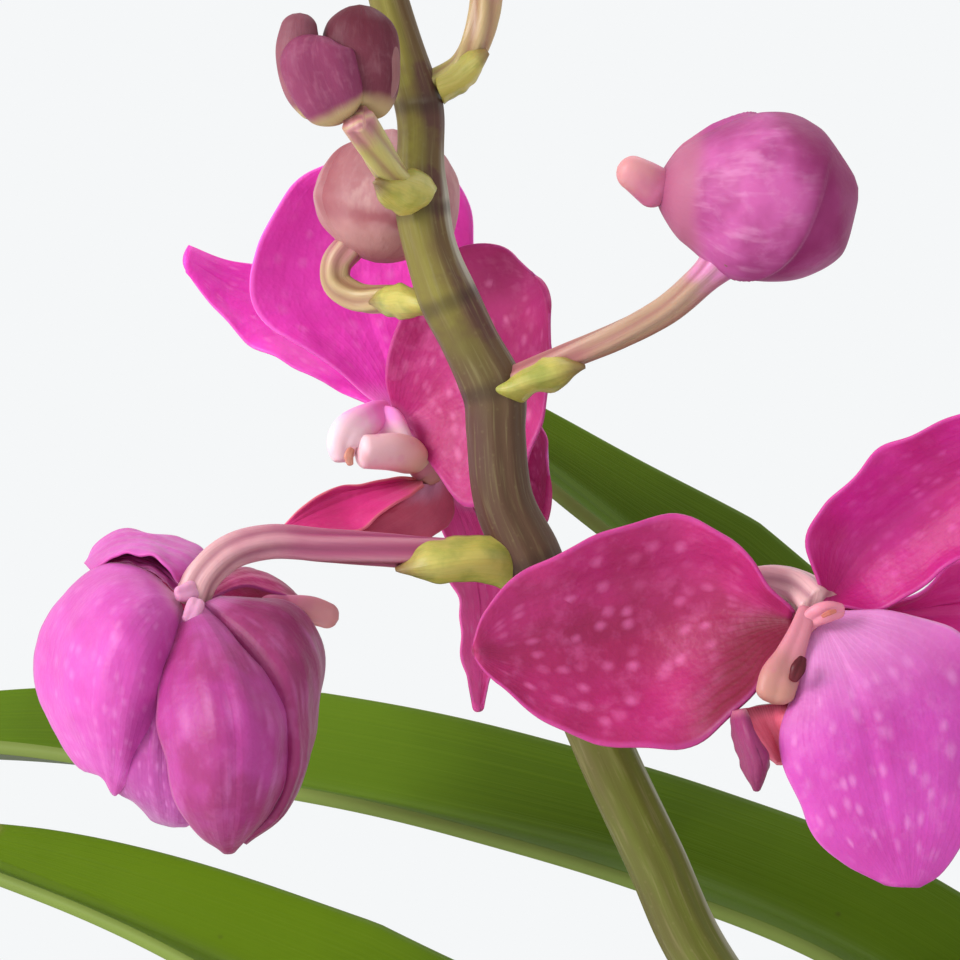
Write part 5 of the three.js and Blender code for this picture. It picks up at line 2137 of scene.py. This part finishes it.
@dataclass
class PotOfBark:
    """The clay pot, its drain holes, and the bark bed with its chips.

    Attributes:
        height: The pot's height, in metres as are all sizes here.
        base: Radius of its underside.
        top: Radius of the wall under the rim.
        rim: Radius of the rim.
        rim_height: Height of the rim's band.
        wall: Thickness of the wall.
        floor: Thickness of the floor.
        level: Height of the bark's surface.
        drain: Radius of a drain hole.
        drain_reach: Distance from the middle to a drain hole.
        chips: How many chips lie on the bed.
        chip: Length, width and thickness of the largest chip.
        jag: How far a corner of it is pushed about.
        clear: Radius kept free round the stem.
        clay: The pot's finish.
        bark: The bark's finish.
    """

    height: float = 0.120
    base: float = 0.048
    top: float = 0.068
    rim: float = 0.072
    rim_height: float = 0.026
    wall: float = 0.005
    floor: float = 0.007
    level: float = 0.106
    drain: float = 0.006
    drain_reach: float = 0.026
    chips: int = 330
    chip: tuple[float, float, float] = (0.014, 0.009, 0.0042)
    jag: float = 0.0006
    clear: float = 0.014
    clay: TerracottaFinish = TerracottaFinish(
        "terracotta", (0.5, 0.19, 0.085), (0.38, 0.13, 0.06), (0.72, 0.6, 0.5)
    )
    bark: BarkFinish = BarkFinish("fir_bark", (0.17, 0.07, 0.03), (0.05, 0.022, 0.012), (0.26, 0.2, 0.15))

    def build(self) -> None:
        """Makes the pot and the bed."""
        self._pot()
        self._bed()

    def _slope(self) -> float:
        """How far the wall leans out over each metre of height."""
        return (self.top - self.base) / (self.height - self.rim_height)

    def _profile(self) -> list[tuple[float, float]]:
        """Returns the pot's wall as radius and height, from the axis out and back."""
        return [
            (0.0, 0.0), (self.base - 0.0015, 0.0), (self.base, 0.0015),
            (self.top, self.height - self.rim_height), (self.rim, self.height - self.rim_height + 0.002),
            (self.rim + 0.001, self.height - 0.0015), (self.rim - 0.0005, self.height),
            (self.rim - self.wall, self.height - 0.001),
            (self.top - self.wall, self.height - self.rim_height - 0.004),
            (self.base - self.wall + self._slope() * self.floor, self.floor), (0.0, self.floor),
        ]

    def _pot(self) -> None:
        """Turns the pot and cuts its drain holes."""
        bm = turned(self._profile(), 120)
        pot = piece("pot", bm, [self.clay.material()], ["pot"], "terracotta")
        holes = bmesh.new()
        for k in range(3):
            angle = (k + 0.5) / 3 * 2 * math.pi
            reach = self.drain_reach
            place = Matrix.Translation((reach * math.cos(angle), reach * math.sin(angle), self.floor / 2))
            bmesh.ops.create_cone(
                holes, cap_ends=True, segments=40, radius1=self.drain, radius2=self.drain,
                depth=3 * self.floor, matrix=place
            )
        mesh = bpy.data.meshes.new("drain")
        holes.to_mesh(mesh)
        holes.free()
        cutter = bpy.data.objects.new("drain", mesh)
        bpy.context.scene.collection.objects.link(cutter)
        cut = pot.modifiers.new("Drain", "BOOLEAN")
        cut.operation = "DIFFERENCE"
        cut.solver = "EXACT"
        cut.object = cutter
        settle(pot)
        bpy.data.objects.remove(cutter)
        soft = pot.modifiers.new("Bevel", "BEVEL")
        soft.width = 0.0007
        soft.segments = 3
        soft.limit_method = "ANGLE"
        soft.angle_limit = math.radians(35)

    def _bed(self) -> None:
        """Makes the bed and scatters chips over it, clear of the stem and the wall."""
        draw = random.Random(20)
        inset = self.wall + 0.0004
        shoulder = self.height - self.rim_height - 0.004
        rise = (self.rim - self.top) / (self.rim_height + 0.003)
        edge = self.top - inset + rise * (self.level - shoulder)
        outline = [
            (0.0, self.floor + 0.0003),
            (self.base - inset + self._slope() * self.floor, self.floor + 0.0003),
            (self.top - inset, shoulder), (edge, self.level - 0.002), (0.0, self.level - 0.002),
        ]
        bm = turned(outline, 64)
        bm.loops.layers.uv.new("UVMap")
        for k in range(self.chips):
            join(bm, self._chip(draw, k, edge))
        piece("potting_bark", bm, [self.bark.material()], ["potting_bark"], "bark", smooth=False)

    def _chip(self, draw: random.Random, number: int, edge: float) -> bmesh.types.BMesh:
        """Makes one chip of bark.

        Args:
            draw: The seeded draws.
            number: Which chip it is, which sets its place.
            edge: Radius of the bed's edge.

        Returns:
            The bmesh.
        """
        chip = bmesh.new()
        chip.loops.layers.uv.new("UVMap")
        bmesh.ops.create_cube(chip, size=1.0, calc_uvs=True)
        bmesh.ops.bevel(
            chip, geom=chip.edges[:], offset=0.14, segments=1, profile=0.5, affect="EDGES", material=-1
        )
        size = draw.uniform(0.45, 1.0)
        bmesh.ops.scale(chip, vec=[side * size for side in self.chip], verts=chip.verts)
        for vert in chip.verts:
            vert.co += Vector([draw.uniform(-1, 1) for _ in range(3)]) * self.jag * size
        turn = (
            Matrix.Rotation(draw.uniform(0, 6.3), 3, "Z")
            @ Matrix.Rotation(draw.uniform(-0.5, 0.5), 3, "X")
            @ Matrix.Rotation(draw.uniform(-0.4, 0.4), 3, "Y")
        )
        bmesh.ops.rotate(chip, cent=(0, 0, 0), matrix=turn, verts=chip.verts)
        room = edge - 0.007
        distance = self.clear + (room - self.clear) * math.sqrt((number + 0.5) / self.chips)
        angle = number * GOLDEN_ANGLE
        place = Vector(
            (
                distance * math.cos(angle), distance * math.sin(angle),
                self.level + draw.uniform(-0.002, 0.002)
            )
        )
        bmesh.ops.translate(chip, vec=place, verts=chip.verts)
        return chip


def settle(made: bpy.types.Object) -> None:
    """Applies the modifiers of a piece to its mesh."""
    graph = bpy.context.evaluated_depsgraph_get()
    solid = bpy.data.meshes.new_from_object(made.evaluated_get(graph), depsgraph=graph)
    made.modifiers.clear()
    made.data = solid


@dataclass(frozen=True)
class Studio:
    """Camera, soft lights and the pale floor.

    Attributes:
        distance: Camera to the spray, in metres.
        width: What the picture's width takes in at the spray, in metres.
        sensor: Width of the camera's sensor, in millimetres.
        floor: Radius of the floor, in metres.
        paper: Colour of the floor and of the light around.
    """

    distance: float = 0.6
    width: float = 0.1056
    sensor: float = 36.0
    floor: float = 3.0
    paper: Colour = (0.915, 0.93, 0.94)

    def build(self) -> None:
        """Sets up the view, the light and the floor."""
        self._camera()
        self._floor()
        self._light("key", (-1.4, -0.8, 1.0), 26.0, 0.7)
        self._light("top", (0.3, 0.5, 1.5), 5.0, 0.8)
        world = bpy.data.worlds.new("studio")
        bpy.context.scene.world = world
        world.use_nodes = True
        world.node_tree.nodes["Background"].inputs[0].default_value = (*self.paper, 1.0)
        world.node_tree.nodes["Background"].inputs[1].default_value = 1.0
        bpy.context.scene.view_settings.view_transform = "Standard"

    def _camera(self) -> None:
        """Places the camera level with the flowers."""
        data = bpy.data.cameras.new("camera")
        data.sensor_width = self.sensor
        data.lens = self.sensor * self.distance / self.width
        data.clip_start = 0.01
        camera = bpy.data.objects.new("camera", data)
        camera.location = SPRAY + Vector((0, -self.distance, 0))
        camera.rotation_euler = (math.radians(90), 0, 0)
        bpy.context.scene.collection.objects.link(camera)
        bpy.context.scene.camera = camera

    def _floor(self) -> None:
        """Lays the pale floor under the pot."""
        bm = bmesh.new()
        bmesh.ops.create_circle(bm, cap_ends=True, segments=96, radius=self.floor)
        mesh = bpy.data.meshes.new("floor")
        bm.to_mesh(mesh)
        bm.free()
        floor = bpy.data.objects.new("floor", mesh)
        bpy.context.scene.collection.objects.link(floor)
        g = Graph("paper")
        mesh.materials.append(g.finish(self.paper, 0.9))

    def _light(self, name: str, place: Sequence[float], power: float, size: float) -> None:
        """Hangs one soft square light aimed at the plant."""
        data = bpy.data.lights.new(name, "AREA")
        data.energy = power
        data.size = size
        light = bpy.data.objects.new(name, data)
        light.location = place
        aim = Vector((-0.05, 0, 0.28)) - Vector(place)
        light.rotation_euler = aim.to_track_quat("-Z", "Y").to_euler()
        bpy.context.scene.collection.objects.link(light)


def main() -> None:
    """Builds the studio, then every part of the plant, logging each piece's face count."""
    logging.basicConfig(level=logging.INFO, format="%(name)s: %(message)s")
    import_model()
    Studio().build()
    PotOfBark().build()
    Foliage().build()
    Spray().build()
    bpy.context.view_layer.update()


if __name__ == "__main__":
    main()
